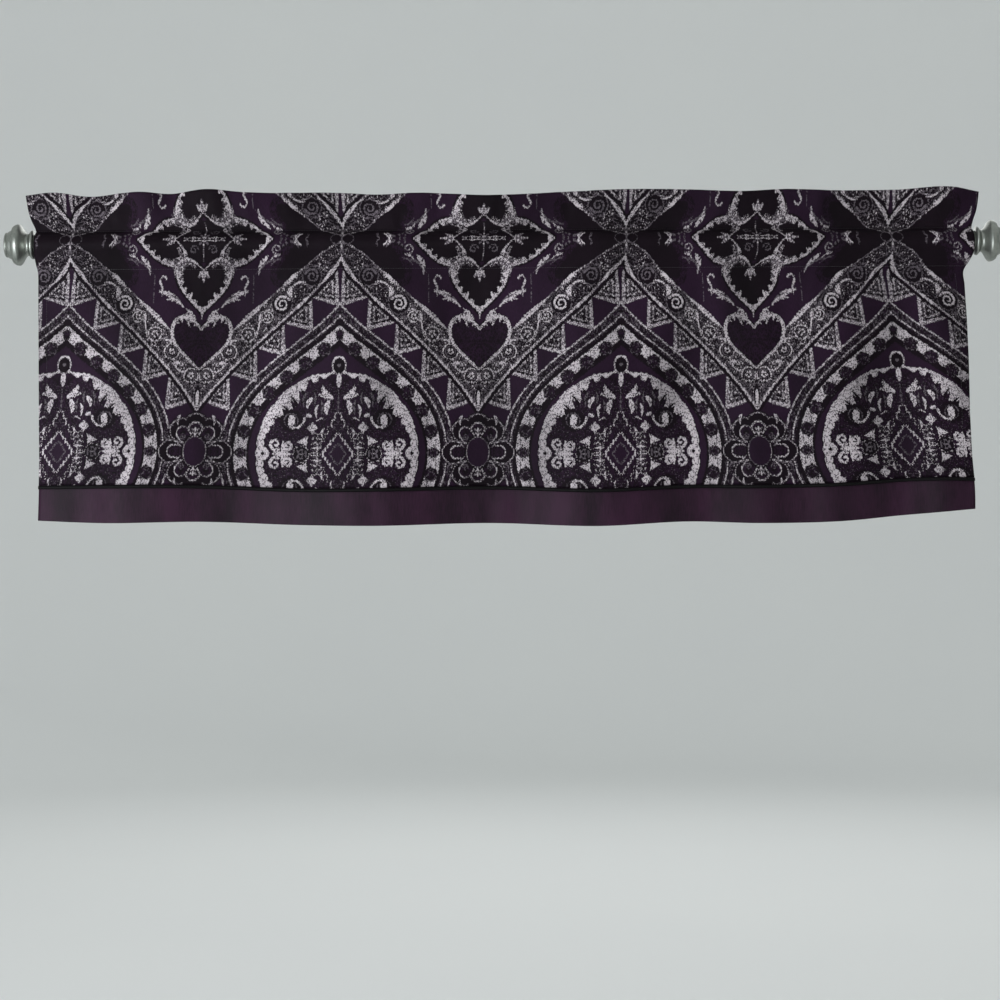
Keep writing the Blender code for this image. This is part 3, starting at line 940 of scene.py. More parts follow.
        # A star over the eye, curls in the nooks, sprays in the corners beside the arch
        for turn in (35, 90, 145, 215, 270, 325):
            self.leaf(0.0, level - 28, turn, 7.6, 2.6, 0.0, SILVER.grain(0.8))
        self.curl(17.0, level - 22, 4.6, 30, 1.2, 2.0, SHADE)
        self.leaf(22.0, 246.0, 80, 14.0, 4.0, -0.15, SILVER.grain(0.7))
        self.curl(36.0, 262.0, 4.0, 200, 1.2, 1.8, SHADE)
        self.leaf(36.0, 282.0, 320, 10.0, 3.0, 0.1, SHADE)

    def roughen(self, dropout: float = 0.24, fallback: float = 0.82) -> None:
        """Give edges the steps of a real weave and let single floats drop out.

        Each small block of cells reads the design a little way off, further along the upright warp
        than across it, so outlines break into upright steps. Some pale cells fall back to a darker tone.

        Args:
            dropout: Share of the silver cells that turn to shade.
            fallback: The chance above which a shade cell turns to black.
        """
        rng = np.random.default_rng(SEED + 1)
        rows, columns = self.tones.shape

        def blocks(high: int, wide: int) -> Array:
            """Numbers from 0 to 1, the same over each block of cells."""
            numbers = rng.random((rows // high + 1, columns // wide + 1))
            return np.repeat(np.repeat(numbers, high, axis=0), wide, axis=1)[:rows, :columns]

        along = np.round((blocks(9, 3) - 0.5) * 6).astype(int)
        across = np.round((blocks(3, 3) - 0.5) * 3).astype(int)
        row = np.clip(np.arange(rows)[:, None] + along, 0, rows - 1)
        column_of = np.clip(np.arange(columns)[None, :] + across, 0, columns - 1)
        self.tones = self.tones[row, column_of]
        chance = blocks(4, 3)
        self.tones[(self.tones == Tone.SILVER) & (chance < dropout)] = Tone.SHADE
        self.tones[(self.tones == Tone.SHADE) & (chance > fallback)] = Tone.BLACK

    def paint(self) -> Array:
        """Paint the whole quarter, from the ground's fields up to the smallest sprays.

        Returns:
            Tones by row of d and column of u.
        """
        upper = smooth_path([(197, 0), (166, 14), (140, 30), (112, 52)])
        self.stroke(upper, [40, 76, 70, 34], BLACK.grain(0.5))
        self.stroke(upper, [24, 54, 44, 14], BLACK)
        self.arch()
        self.stairs()
        self.strap()
        self.volutes()
        self.palmette()
        self.medallion()
        self.rosette()
        self.roughen()
        return self.tones

    def read(self, across: Array, down: Array) -> Array:
        """Read the finished chart on the cloth.

        The axes of the design fan out a little from the pocket to the hem, so the place in the
        repeat is read between two rows of axis places and both halves are mirrored.

        Args:
            across: Place across the cloth, in metres.
            down: Place down the cloth from the palmettes' level, in metres.

        Returns:
            The tone at each place.
        """
        share = np.clip(down / MM / self.half_down, -0.4, 1.3)
        index = column(DAMASK_AXES, "index") / MM
        at_pocket = np.interp(across, column(DAMASK_AXES, "at_pocket"), index)
        at_hem = np.interp(across, column(DAMASK_AXES, "at_hem"), index)
        turn = np.abs((at_pocket * (1 - share) + at_hem * share) % 2)
        turn = np.where(turn > 1, 2 - turn, turn)
        level = np.abs(down / MM / self.half_down) % 2
        level = np.where(level > 1, 2 - level, level)
        column_of = np.clip((turn * len(self.u)).astype(int), 0, len(self.u) - 1)
        row_of = np.clip((level * len(self.d)).astype(int), 0, len(self.d) - 1)
        return self.tones[row_of, column_of]


def linear(colour: str) -> tuple[float, float, float, float]:
    """Turn an sRGB hex colour into the linear one that shaders take.

    Args:
        colour: Six hex digits after a #.

    Returns:
        Linear red, green, blue and an alpha of 1.
    """
    parts = [int(colour[k:k + 2], 16) / 255 for k in (1, 3, 5)]
    turned = [part / 12.92 if part <= 0.04045 else ((part + 0.055) / 1.055) ** 2.4 for part in parts]
    return (*turned, 1.0)


def add_node(
    tree: Tree,
    kind: str,
    inputs: dict | None = None,
    stops: list[tuple[float, str]] | None = None,
    **settings: object,
) -> Node:
    """Add a shader node with its settings, values and links.

    Args:
        tree: The material's node tree.
        kind: The node's type without "ShaderNode".
        inputs: For each input's name or number, a value, the output that feeds it, or the node whose
            first output does.
        stops: Place from 0 to 1 and sRGB hex colour of each stop, if the node has a ramp of them.
        settings: Properties of the node.

    Returns:
        The node.
    """
    node = tree.nodes.new("ShaderNode" + kind)
    for name, value in settings.items():
        setattr(node, name, value)
    for socket, value in (inputs or {}).items():
        if isinstance(value, Node):
            value = value.outputs[0]
        if isinstance(value, bpy.types.NodeSocket):
            tree.links.new(value, node.inputs[socket])
        else:
            node.inputs[socket].default_value = value
    if stops:
        elements = node.color_ramp.elements
        while len(elements) < len(stops):
            elements.new(1.0)
        for element, (place, colour) in zip(elements, stops):
            element.position = place
            element.color = linear(colour)
    return node


def start_material(name: str) -> tuple[Material, Tree]:
    """Make a material with an empty node tree."""
    material = bpy.data.materials.new(name)
    material.use_nodes = True
    material.node_tree.nodes.clear()
    return material, material.node_tree


@dataclass(frozen=True)
class JacquardDamask:
    """Polyester jacquard: a black and plum warp satin with a silver-lilac weft that floats on its face.

    The satin ground looks deep and soft, the weft's floats catch the light as fine cross threads and
    stand a little proud of the ground. On the reverse the colours change places. Soft upright bands of
    painted sheen and shade lighten and darken the colour.
    """

    face: tuple[str, str, str, str] = ("#10090f", "#1f1120", "#534c52", "#aba3a7")
    reverse: tuple[str, str, str, str] = ("#948b95", "#7b6c7a", "#453b47", "#1f1722")
    thread: float = 0.66 * MM     # the real 0.2 mm threads are too fine to show, so three are drawn as one
    slub: float = 5.0 * MM
    # Width of the soft upright bands of painted sheen and shade in the colour
    band: float = 70 * MM
    relief: float = 0.12 * MM

    def decode(self, tree: Tree) -> Node:
        """Read the tone of a cell from the face's six numbers.

        Each face of the cloth holds CELLS by CELLS cells of 2 bits. A number holds one row of cells,
        so the tone is the number divided by 4 to the power of the column, taken modulo 4.

        Args:
            tree: The material's node tree.

        Returns:
            The node that gives the tone, from 0 to 3.
        """
        place = add_node(tree, "SeparateXYZ", {0: add_node(tree, "UVMap", uv_map="cells")})
        steps = []
        for axis in (0, 1):
            parts = {0: place.outputs[axis], 1: float(CELLS)}
            scaled = add_node(tree, "Math", parts, operation="MULTIPLY")
            whole = add_node(tree, "Math", {0: scaled}, operation="FLOOR")
            low = add_node(tree, "Math", {0: whole, 1: 0.0}, operation="MAXIMUM")
            steps.append(add_node(tree, "Math", {0: low, 1: CELLS - 1.0}, operation="MINIMUM"))
        column_of, row_of = steps
        code = 0.0
        for part, name in enumerate(CODE_NAMES):
            numbers = add_node(tree, "Attribute", attribute_name=name).outputs["Vector"]
            rows = add_node(tree, "SeparateXYZ", {0: numbers})
            for axis in range(3):
                number = float(3 * part + axis)
                chosen = add_node(tree, "Math", {0: row_of, 1: number, 2: 0.1}, operation="COMPARE")
                parts = {0: rows.outputs[axis], 1: chosen, 2: code}
                code = add_node(tree, "Math", parts, operation="MULTIPLY_ADD")
        power = add_node(tree, "Math", {0: 4.0, 1: column_of}, operation="POWER")
        safe = add_node(tree, "Math", {0: code, 1: 0.5}, operation="ADD")
        shifted = add_node(tree, "Math", {0: safe, 1: power}, operation="DIVIDE")
        whole = add_node(tree, "Math", {0: shifted}, operation="FLOOR")
        return add_node(tree, "Math", {0: whole, 1: 4.0}, operation="FLOORED_MODULO")

    def make(self) -> Material:
        """Make the material.

        Returns:
            The material, which reads the cloth's own maps and attributes.
        """
        material, tree = start_material("jacquard_damask")
        tone = self.decode(tree)
        level = add_node(tree, "Math", {0: tone, 1: 3.0}, operation="DIVIDE")
        ramps = []
        for colours in (self.face, self.reverse):
            stops = [(max(0.0, k / 3 - 0.1), colour) for k, colour in enumerate(colours)]
            ramps.append(add_node(tree, "ValToRGB", {0: level}, stops))
            ramps[-1].color_ramp.interpolation = "CONSTANT"
        side = add_node(tree, "Attribute", attribute_name="reverse").outputs["Fac"]
        cloth = add_node(tree, "Mix", {0: side, 6: ramps[0], 7: ramps[1]}, data_type="RGBA").outputs[2]
        # Threads: the weft's cross ribs in the figure, the warp's fine lengthwise ribs in the ground
        flat = add_node(tree, "UVMap", uv_map="threads")
        weft = add_node(
            tree, "TexWave", {0: flat, 1: WAVE / self.thread, 2: 0.6, 3: 2.0, 4: 1.0},
            wave_type="BANDS", bands_direction="Y",
        ).outputs["Fac"]
        warp = add_node(
            tree, "TexWave", {0: flat, 1: WAVE / (0.8 * self.thread), 2: 0.4, 3: 2.0, 4: 1.0},
            wave_type="BANDS", bands_direction="X",
        ).outputs["Fac"]
        figure = add_node(tree, "MapRange", {0: tone, 1: 1.2, 2: 2.0})
        rib = add_node(tree, "Mix", {0: figure, 2: warp, 3: weft}, data_type="FLOAT")
        rib_shade = add_node(tree, "MapRange", {0: rib, 3: 0.84, 4: 1.08})
        # Slubs: long uneven threads along the weft and the warp
        stretch = add_node(tree, "Mapping", {0: flat, 3: (1 / 1.4, 1 / self.slub * MM, 1.0)})
        slubs = add_node(tree, "TexNoise", {0: stretch, 2: 1000.0, 3: 2.0, 4: 0.6})
        slub_shade = add_node(tree, "MapRange", {0: slubs, 1: 0.3, 2: 0.7, 3: 0.8, 4: 1.18})
        # Painted sheen and shade: the colour is lightened and darkened in soft upright bands, as wide as the
        # folds, for the floats' uneven shine and the folds' shade
        bands = add_node(tree, "Mapping", {0: flat, 3: (1.0, 0.4, 1.0)})
        painted_sheen = add_node(tree, "TexNoise", {0: bands, 2: 1 / self.band, 3: 2.0, 4: 0.5})
        painted_sheen_scale = add_node(tree, "MapRange", {0: painted_sheen, 1: 0.34, 2: 0.68, 3: 0.62, 4: 1.3})
        threads = add_node(tree, "Math", {0: slub_shade, 1: rib_shade}, operation="MULTIPLY")
        shade = add_node(tree, "Math", {0: threads, 1: painted_sheen_scale}, operation="MULTIPLY")
        base = add_node(tree, "VectorMath", {0: cloth, 3: shade}, operation="SCALE")
        # Relief: floats over ground, and ribs on both
        floats = add_node(tree, "Math", {0: level, 1: rib, 2: level}, operation="MULTIPLY_ADD")
        bump = add_node(tree, "Bump", {0: 0.5, 1: self.relief, "Height": floats})
        rough = add_node(tree, "MapRange", {0: level, 3: 0.62, 4: 0.5})
        look = {
            "Base Color": base,
            "Roughness": rough,
            "IOR": 1.5,
            "Specular IOR Level": 0.06,
            "Normal": bump,
        }
        add_node(tree, "OutputMaterial", {"Surface": add_node(tree, "BsdfPrincipled", look)})
        return material


@dataclass(frozen=True)
class PlumSateen:
    """Polyester sateen, woven: plain plum with long warp floats, which give it a soft lengthwise sheen.

    The sheen and the folds' shade are painted into its colour as soft lengthwise bands.
    """

    colour: str = "#170b15"
    light: str = "#2d1628"
    sheen: str = "#b48aa6"
    thread: float = 0.8 * MM      # the real 0.2 mm threads are too fine to show, so four are drawn as one
    relief: float = 0.05 * MM

    def make(self) -> Material:
        """Make the material.

        Returns:
            The material, which reads the band's flat map.
        """
        material, tree = start_material("plum_sateen")
        flat = add_node(tree, "UVMap", uv_map="threads")
        rib = add_node(
            tree, "TexWave", {0: flat, 1: WAVE / self.thread, 2: 1.2, 3: 2.0, 4: 1.5},
            wave_type="BANDS", bands_direction="X",
        ).outputs["Fac"]
        stretch = add_node(tree, "Mapping", {0: flat, 3: (0.6, 0.06, 1.0)})
        slubs = add_node(tree, "TexNoise", {0: stretch, 2: 1000.0, 3: 3.0, 4: 0.6})
        # Painted sheen and shade: soft lengthwise bands that lighten and darken the plum, mixed with the
        # slubs
        upright = add_node(tree, "Mapping", {0: flat, 3: (1.0, 0.25, 1.0)})
        mottle = add_node(tree, "TexNoise", {0: upright, 2: 20.0, 3: 3.0, 4: 0.5})
        slubs_and_painted_sheen = add_node(tree, "Math", {0: slubs, 1: 0.5, 2: mottle}, operation="MULTIPLY_ADD")
        level = add_node(tree, "MapRange", {0: slubs_and_painted_sheen, 1: 0.58, 2: 0.92})
        colour = add_node(tree, "ValToRGB", {0: level}, [(0.0, self.colour), (1.0, self.light)])
        shade = add_node(tree, "MapRange", {0: rib, 3: 0.9, 4: 1.06})
        look = {
            "Base Color": add_node(tree, "VectorMath", {0: colour, 3: shade}, operation="SCALE"),
            "Roughness": 0.55,
            "IOR": 1.5,
            "Specular IOR Level": 0.12,
            "Sheen Weight": 0.03,
            "Sheen Roughness": 0.35,
            "Sheen Tint": linear(self.sheen),
            "Normal": add_node(tree, "Bump", {0: 0.4, 1: self.relief, "Height": rib}),
        }
        add_node(tree, "OutputMaterial", {"Surface": add_node(tree, "BsdfPrincipled", look)})
        return material


@dataclass(frozen=True)
class CoveredCord:
    """Black satin strip, cut on the bias and sewn round a cord: near black, with slanting creases."""

    colour: str = "#050405"
    light: str = "#0b090b"
    pitch: float = 2.4 * MM
    relief: float = 0.1 * MM

    def make(self) -> Material:
        """Make the material.

        Returns:
            The material, which reads the piping's map of length and turn.
        """
        material, tree = start_material("bias_covered_piping")
        crease = add_node(
            tree, "TexWave",
            {0: add_node(tree, "UVMap", uv_map="threads"), 1: WAVE / self.pitch, 2: 2.0, 3: 2.0, 4: 1.0},
            wave_type="BANDS", bands_direction="DIAGONAL",
        ).outputs["Fac"]
        # Painted highlight: the crease wave also lightens the colour along the creases' ridges
        colour = add_node(tree, "ValToRGB", {0: crease}, [(0.0, self.colour), (1.0, self.light)])
        bump = add_node(tree, "Bump", {0: 0.35, 1: self.relief, "Height": crease})
        look = {"Base Color": colour, "Roughness": 0.6, "IOR": 1.5, "Specular IOR Level": 0.1, "Normal": bump}
        add_node(tree, "OutputMaterial", {"Surface": add_node(tree, "BsdfPrincipled", look)})
        return material


@dataclass(frozen=True)
class SewingThread:
    """Spun polyester thread in dark plum: two plies, each stitch a small rounded bar."""

    colour: str = "#0d090e"
    light: str = "#150f16"
    pitch: float = 0.5 * MM

    def make(self) -> Material:
        """Make the material.

        Returns:
            The material, with the plies' twist painted into its colour as shade in the grooves between them.
        """
        material, tree = start_material("polyester_thread")
        place = add_node(tree, "TexCoord").outputs["Object"]
        painted_twist_shade = add_node(
            tree, "TexWave", {0: place, 1: WAVE / self.pitch, 2: 0.5},
            wave_type="BANDS", bands_direction="DIAGONAL",
        ).outputs["Fac"]
        # Painted shade: the grooves between the twisted plies are darker in the colour
        colour = add_node(tree, "ValToRGB", {0: painted_twist_shade}, [(0.0, self.colour), (1.0, self.light)])
        look = {"Base Color": colour, "Roughness": 0.6, "Sheen Weight": 0.1}
        add_node(tree, "OutputMaterial", {"Surface": add_node(tree, "BsdfPrincipled", look)})
        return material


@dataclass(frozen=True)
class SatinPewter:
    """Cast zinc, turned and plated in satin nickel: soft broad highlights with fine turning rings."""

    colour: str = "#9b9e98"
    dull: str = "#7d817c"
    ring: float = 0.9 * MM       # the polishing rings are finer in truth; drawn so that they show
    relief: float = 0.04 * MM

    def make(self) -> Material:
        """Make the material.

        Returns:
            The material, on object coordinates.
        """
        material, tree = start_material("satin_nickel_pewter")
        place = add_node(tree, "TexCoord").outputs["Object"]
        rings = add_node(
            tree, "TexWave", {0: place, 1: WAVE / self.ring, 2: 0.3, 3: 2.0, 4: 30.0},
            wave_type="BANDS", bands_direction="X",
        ).outputs["Fac"]
        haze = add_node(tree, "TexNoise", {0: place, 2: 90.0, 3: 4.0, 4: 0.6})
        colour = add_node(tree, "ValToRGB", {0: haze}, [(0.3, self.dull), (0.7, self.colour)])
        rough = add_node(tree, "MapRange", {0: haze, 1: 0.3, 2: 0.7, 3: 0.46, 4: 0.36})
        bump = add_node(tree, "Bump", {0: 0.25, 1: self.relief, "Height": rings})
        look = {"Base Color": colour, "Metallic": 1.0, "Roughness": rough, "Normal": bump}
        add_node(tree, "OutputMaterial", {"Surface": add_node(tree, "BsdfPrincipled", look)})
        return material


@dataclass(frozen=True)
class StudioPaper:
    """Matt pale studio paper."""

    colour: str = "#e3e4e4"
    light: str = "#e6e7e6"

    def make(self) -> Material:
        """Make the material.

        Returns:
            The material, with a very faint mottle.
        """
        material, tree = start_material("studio_paper")
        place = add_node(tree, "TexCoord").outputs["Object"]
        mottle = add_node(tree, "TexNoise", {0: place, 2: 1.5, 3: 2.0})
        colour = add_node(tree, "ValToRGB", {0: mottle}, [(0.0, self.colour), (1.0, self.light)])
        look = {"Base Color": colour, "Roughness": 0.95}
        add_node(tree, "OutputMaterial", {"Surface": add_node(tree, "BsdfPrincipled", look)})
        return material


def put_mesh(name: str, points: Array, faces: Array, material: Material) -> Piece:
    """Put whole arrays of points and four-cornered faces into a mesh object.

    Args:
        name: The piece's name.
        points: One row of X, Y, Z for each point.
        faces: One row of four point numbers for each face.
        material: Its material.

    Returns:
        The object, linked to the scene and smoothly shaded.
    """
    mesh = bpy.data.meshes.new(name)
    mesh.vertices.add(len(points))
    mesh.vertices.foreach_set("co", np.asarray(points, np.float32).ravel())
    mesh.loops.add(faces.size)
    mesh.loops.foreach_set("vertex_index", faces.astype(np.int32).ravel())
    mesh.polygons.add(len(faces))
    mesh.polygons.foreach_set("loop_start", (np.arange(len(faces)) * 4).astype(np.int32))
    mesh.update(calc_edges=True)
    mesh.validate()
    mesh.shade_smooth()
    mesh.materials.append(material)
    piece = bpy.data.objects.new(name, mesh)
    bpy.context.scene.collection.objects.link(piece)
    return piece


def put_map(piece: Piece, name: str, corners: Array) -> None:
    """Give a piece a UV map from one (u, v) row for each face corner."""
    layer = piece.data.uv_layers.new(name=name)
    layer.data.foreach_set("uv", np.asarray(corners, np.float32).ravel())


def grid_faces(rows: int, columns: int, first: int = 0, close: bool = False, ring: bool = False) -> Array:
    """Number the faces of a grid of points, row after row, seen with rows up and columns to the right.

    Args:
        rows: Rows of points.
        columns: Columns of points.
        first: Number of the first point.
        close: Join the last row to the first one.
        ring: Join the last column to the first one too.

    Returns:
        One row of four point numbers for each face.
    """
    row = np.arange(rows if close else rows - 1)[:, None]
    col = np.arange(columns if ring else columns - 1)[None, :]
    next_col = (col + 1) % columns
    near = first + row * columns
    far = first + (row + 1) % rows * columns
    return np.stack([near + col, near + next_col, far + next_col, far + col], axis=-1).reshape(-1, 4)


def tube_faces(sides: int, columns: int) -> Array:
    """Number the faces of a closed tube whose points go along it, side after side.

    Its skin looks outwards where the sides turn from the way along it by the right hand. Each end is
    closed by strips of four-cornered faces straight across.

    Args:
        sides: Points round the tube, an even number.
        columns: Points along it.

    Returns:
        One row of four point numbers for each face.
    """
    numbers = np.arange(sides) * columns
    low, high = numbers[:sides // 2], numbers[sides // 2:][::-1]
    cap = np.stack([low[:-1], low[1:], high[1:], high[:-1]], axis=-1)
    skin = grid_faces(sides, columns, close=True)
    return np.concatenate([skin, cap, (cap + columns - 1)[:, ::-1]])


def pairs(first: Array, second: Array | float) -> Array:
    """Rows of two numbers from two arrays, each stretched to the other's shape."""
    return np.stack(np.broadcast_arrays(first, second), axis=-1).reshape(-1, 2)


def unit_corners(count: int) -> Array:
    """The corners (0,0), (1,0), (1,1), (0,1) for a number of faces."""
    return np.tile(np.array([[0, 0], [1, 0], [1, 1], [0, 1]], float), (count, 1, 1))


@dataclass
class FoldedSheet:
    """A sheet of cloth on a grid of points: its middle surface, given thickness on both sides.

    The face is the middle surface moved out along its normal by half the thickness, the reverse is
    moved in, and a rim of narrow faces closes it.
    """

    middle: Array
    half_face: Array | float
    half_reverse: Array | float

    def normals(self) -> Array:
        """Unit normals: the cross product of the step across and the step along."""
        across = np.gradient(self.middle, axis=1)
        along = np.gradient(self.middle, axis=0)
        normal = np.cross(across, along)
        return normal / np.linalg.norm(normal, axis=-1, keepdims=True)

    def build(self, name: str, path: Array, across: Array, material: Material) -> Piece:
        """Build the closed sheet with its maps.

        "cells" runs from 0 to 1 over each face, "threads" is the place on the flat cloth in metres, and
        "OFBake" lays out the face in one half of the square, the reverse in the other and the rim between.

        Args:
            name: The piece's name.
            path: Place along the cloth of each row, in metres.
            across: Place across the cloth of each column, in metres.
            material: Its material.

        Returns:
            The object. Faces come in the order face side, reverse, rims.
        """
        rows, columns = self.middle.shape[:2]
        normal = self.normals()
        face = self.middle + normal * np.asarray(self.half_face)[..., None]
        back = self.middle - normal * np.asarray(self.half_reverse)[..., None]
        count = rows * columns
        front_faces = grid_faces(rows, columns)
        back_faces = grid_faces(rows, columns, first=count)[:, [1, 0, 3, 2]]
        # Rims: each joins a border row of the face with the same row of the reverse
        numbers = np.arange(count).reshape(rows, columns)
        rims = [
            np.stack([border[1:] + count, border[:-1] + count, border[:-1], border[1:]], axis=-1)
            for border in (numbers[0, ::-1], numbers[:, 0], numbers[-1], numbers[::-1, -1])
        ]
        faces = np.concatenate([front_faces, back_faces, *rims])
        piece = put_mesh(name, np.concatenate([face.reshape(-1, 3), back.reshape(-1, 3)]), faces, material)

        each = len(front_faces)
        cells = unit_corners(len(faces))
        cells[each:2 * each, :, 0] = 1 - cells[each:2 * each, :, 0]
        cells[2 * each:] = 0.5
        put_map(piece, "cells", cells)
        put_map(piece, "threads", np.tile(pairs(across[None, :], path[:, None]), (2, 1))[faces])
        share = ((path - path[0]) / (path[-1] - path[0]))[:, None]
        place = np.linspace(0.01, 0.99, columns)[None, :]
        bake = np.concatenate([pairs(place, low + 0.48 * share) for low in (0.01, 0.51)])[faces]
        start = 2 * each
        for rim, (low, high, upright) in zip(rims, RIM_STRIPS):
            place = np.linspace(0.01, 0.99, len(rim) + 1)
            corners = ((place[:-1], low), (place[1:], low), (place[1:], high), (place[:-1], high))
            box = np.stack([pairs(*corner) for corner in corners], axis=1)
            bake[start:start + len(rim)] = box[..., ::-1] if upright else box
            start += len(rim)
        put_map(piece, "OFBake", bake)
        return piece


@dataclass
class FaceCloth:
    """The damask: one length that hangs in folds, turned over at the header, with the rod in its pocket."""

    drape: Drape
    columns: int = 334
    body_rows: int = 76
    pocket_rows: int = 16
    header_rows: int = 13
    fold_rows: int = 4
    half_thick: float = 0.5 * MM
    palmette_above_axis: float = 5 * MM
    body_wave: float = 0.9 * MM
    header_wave: float = 1.3 * MM
    pucker: float = 0.45 * MM
    body_waves: tuple[float, float] = (62 * MM, 27 * MM)
    header_waves: tuple[float, float] = (55 * MM, 21 * MM)
    pucker_waves: tuple[float, float] = (11 * MM, 12 * MM)
    sewn: tuple[list, list] = field(init=False, default=((), ()))

    def layers(self) -> tuple[Array, Array, Array]:
        """Lay the middle surface along its path, from the piped edge over the header to the pocket's back.

        Returns:
            The points as (rows, columns, 3), the place of each row along the path from the palmettes'
            level, and the place of each column across the cloth.
        """
        drape = self.drape
        half = drape.cloth_thick / 2
        across = drape.places(self.columns)
        sections = []
        # Body: evenly up from the piping to the pocket seam
        foot = drape.seam_height(across) + drape.piping_radius + drape.gap
        for share in np.linspace(0.0, 1.0, self.body_rows + 1):
            z = foot + (drape.pocket_seam - foot) * share
            sections.append((drape.fold_back(across, z) - half, z))
        # Pocket's front: the tangent-arc-tangent line, a little fuller where a fold comes forward
        seam_back = drape.fold_back(across, np.full_like(across, drape.pocket_seam))
        line, outward = drape.pocket_line(self.pocket_rows)
        full = 1 + drape.front_slack * np.maximum(-seam_back, 0.0) / MM
        front, back = [], []
        for (y, z), (out_y, out_z) in zip(line, outward):
            fall = (z + drape.rod_radius) / (drape.pocket_seam + drape.rod_radius)
            pull = seam_back * np.clip(fall, 0.0, 1.0)
            height = np.full_like(across, z + half * out_z)
            front.append((pull + full * y + half * out_y, height))
            back.append((pull - y - half * out_y, height))
        sections += front[1:]
        # Header: two layers a little apart that lean together, and the fold on top as half an ellipse
        top = through_rows(TOP_EDGE, "across", "height", across)
        lean = through_rows(TOP_EDGE, "across", "lean", across)
        inside_top = top - 2.2 * drape.cloth_thick
        mouth = np.exp(-(drape.cut_width / 2 - np.abs(across)) / drape.mouth_reach)
        gap = drape.header_gap + (drape.header_mouth - drape.header_gap) * mouth
        web = drape.header_seam + drape.seam_web
        sides = {-1: [], 1: []}
        for share in np.linspace(0.0, 1.0, self.header_rows + 1)[1:]:
            z = drape.header_seam + (inside_top - drape.header_seam) * share
            rise = np.clip((z - web) / (inside_top - web), 0, 1)
            for side, rows in sides.items():
                rows.append((-lean * rise**1.5 + side * (gap * np.sin(math.pi * rise) + half), z))
        sections += sides[-1]
        for angle in np.linspace(0.0, math.pi, self.fold_rows + 1)[1:-1]:
            z = inside_top + (top - half - inside_top) * math.sin(angle)
            sections.append((-lean - half * math.cos(angle), z))
        sections += sides[1][::-1]
        sections += back[::-1]
        ledge = np.full_like(across, drape.pocket_seam - drape.seam_web)
        sections.append((drape.fold_back(across, ledge) + half, ledge))
        middle = np.stack([drape.hung(across, y, z) for y, z in sections])
        path = run_down(middle)
        # The palmettes' level lies on the pocket's front, a little above the rod's axis
        rows = slice(self.body_rows, self.body_rows + self.pocket_rows)
        path -= np.interp(self.palmette_above_axis, middle[rows, :, 2].mean(axis=1), path[rows])
        return middle, path, across

    def ruffled(self, middle: Array, path: Array, across: Array) -> Array:
        """Add the wrinkles that hand sewing and hanging leave.

        Short puckers die away from the stitches as an exponential, longer ripples run down from the
        pocket, and both layers of the header wave together.

        Args:
            middle: Points of the middle surface.
            path: Place of each row along the cloth.
            across: Place of each column across the cloth.

        Returns:
            The points, moved along Y.
        """
        place = across[None, :]
        low = path[self.body_rows]
        high = path[self.body_rows + self.pocket_rows]
        turn = self.body_rows + self.pocket_rows + self.header_rows + self.fold_rows / 2
        number = np.arange(len(path))[:, None]
        front = number <= turn
        along = np.where(front, path[:, None], 2 * np.interp(turn, number[:, 0], path) - path[:, None])
        near_low = np.exp(-np.abs(along - low) / (9 * MM))
        near_high = np.exp(-np.abs(along - high) / (8 * MM))
        near, far = self.pucker_waves
        pucker = ripple(place, along, near, 3) * near_low + ripple(place, along, far, 4) * near_high
        below = np.clip((low - along) / (14 * MM), 0, 1)
        below = below * np.clip((along - along.min()) / (30 * MM), 0, 1)
        fade = 0.35 + 0.65 * np.exp(-np.abs(low - along) / (110 * MM))
        long, short = self.body_waves
        body = (ripple(place, along, long, 5) * 1.2 + ripple(place, along, short, 6) * 0.5) * below * fade
        above = np.clip((along - high) / (25 * MM), 0, 1)
        long, short = self.header_waves
        header = (ripple(place, along, long, 7) + 0.5 * ripple(place, along, short, 8)) * above
        shift = self.body_wave * body + self.header_wave * header
        shift = shift + self.pucker * np.where(front, pucker, -pucker)
        lifted = middle.copy()
        lifted[..., 1] -= shift
        return lifted

    def chart_codes(self, chart: DamaskChart, path: Array, across: Array) -> tuple[Array, Array]:
        """Pack the weaving chart into numbers, CELLS by CELLS cells for each face of the cloth.

        A row of cells is the sum of each cell's tone times 4 to the power of its column.

        Args:
            chart: The painted chart.
            path: Place of each row along the cloth.
            across: Place of each column across the cloth.

        Returns:
            Two arrays with three numbers a face.
        """
        part = (np.arange(CELLS) + 0.5) / CELLS
        down = -(path[:-1, None] + np.diff(path)[:, None] * part).ravel()
        side = (across[:-1, None] + np.diff(across)[:, None] * part).ravel()
        tones = chart.read(side[None, :], down[:, None]).astype(float)
        blocks = tones.reshape(len(path) - 1, CELLS, len(across) - 1, CELLS)
        codes = np.einsum("rjci,i->rcj", blocks, 4.0 ** np.arange(CELLS)).reshape(-1, CELLS)
        return codes[:, :3], codes[:, 3:]

    def seams(self, middle: Array, across: Array) -> tuple[list, list]:
        """The lines that are sewn: both ends of the pocket, on both faces, and the two side hems.

        Args:
            middle: Points of the middle surface.
            across: Place of each column across the cloth.

        Returns:
            The cross seams and the side seams, each as points on the cloth and directions out of it.
        """
        normal = FoldedSheet(middle, 0.0, 0.0).normals()
        face = middle + normal * self.half_thick
        front_top = self.body_rows + self.pocket_rows
        back_top = front_top + 2 * self.header_rows + self.fold_rows
        sewn_rows = (self.body_rows, front_top, back_top, back_top + self.pocket_rows)
        cross = [(face[row], normal[row]) for row in sewn_rows]
        sewn = self.drape.cut_width / 2 - self.drape.side_hem + 2 * MM
        rows = slice(2, self.body_rows - 1)
        sides = []
        for place in (-sewn, sewn):
            near = int(np.abs(across - place).argmin())
            back = middle[rows, near] - normal[rows, near] * (self.half_thick + self.drape.side_hem_extra)
            sides += [(face[rows, near], normal[rows, near]), (back, -normal[rows, near])]
        return cross, sides

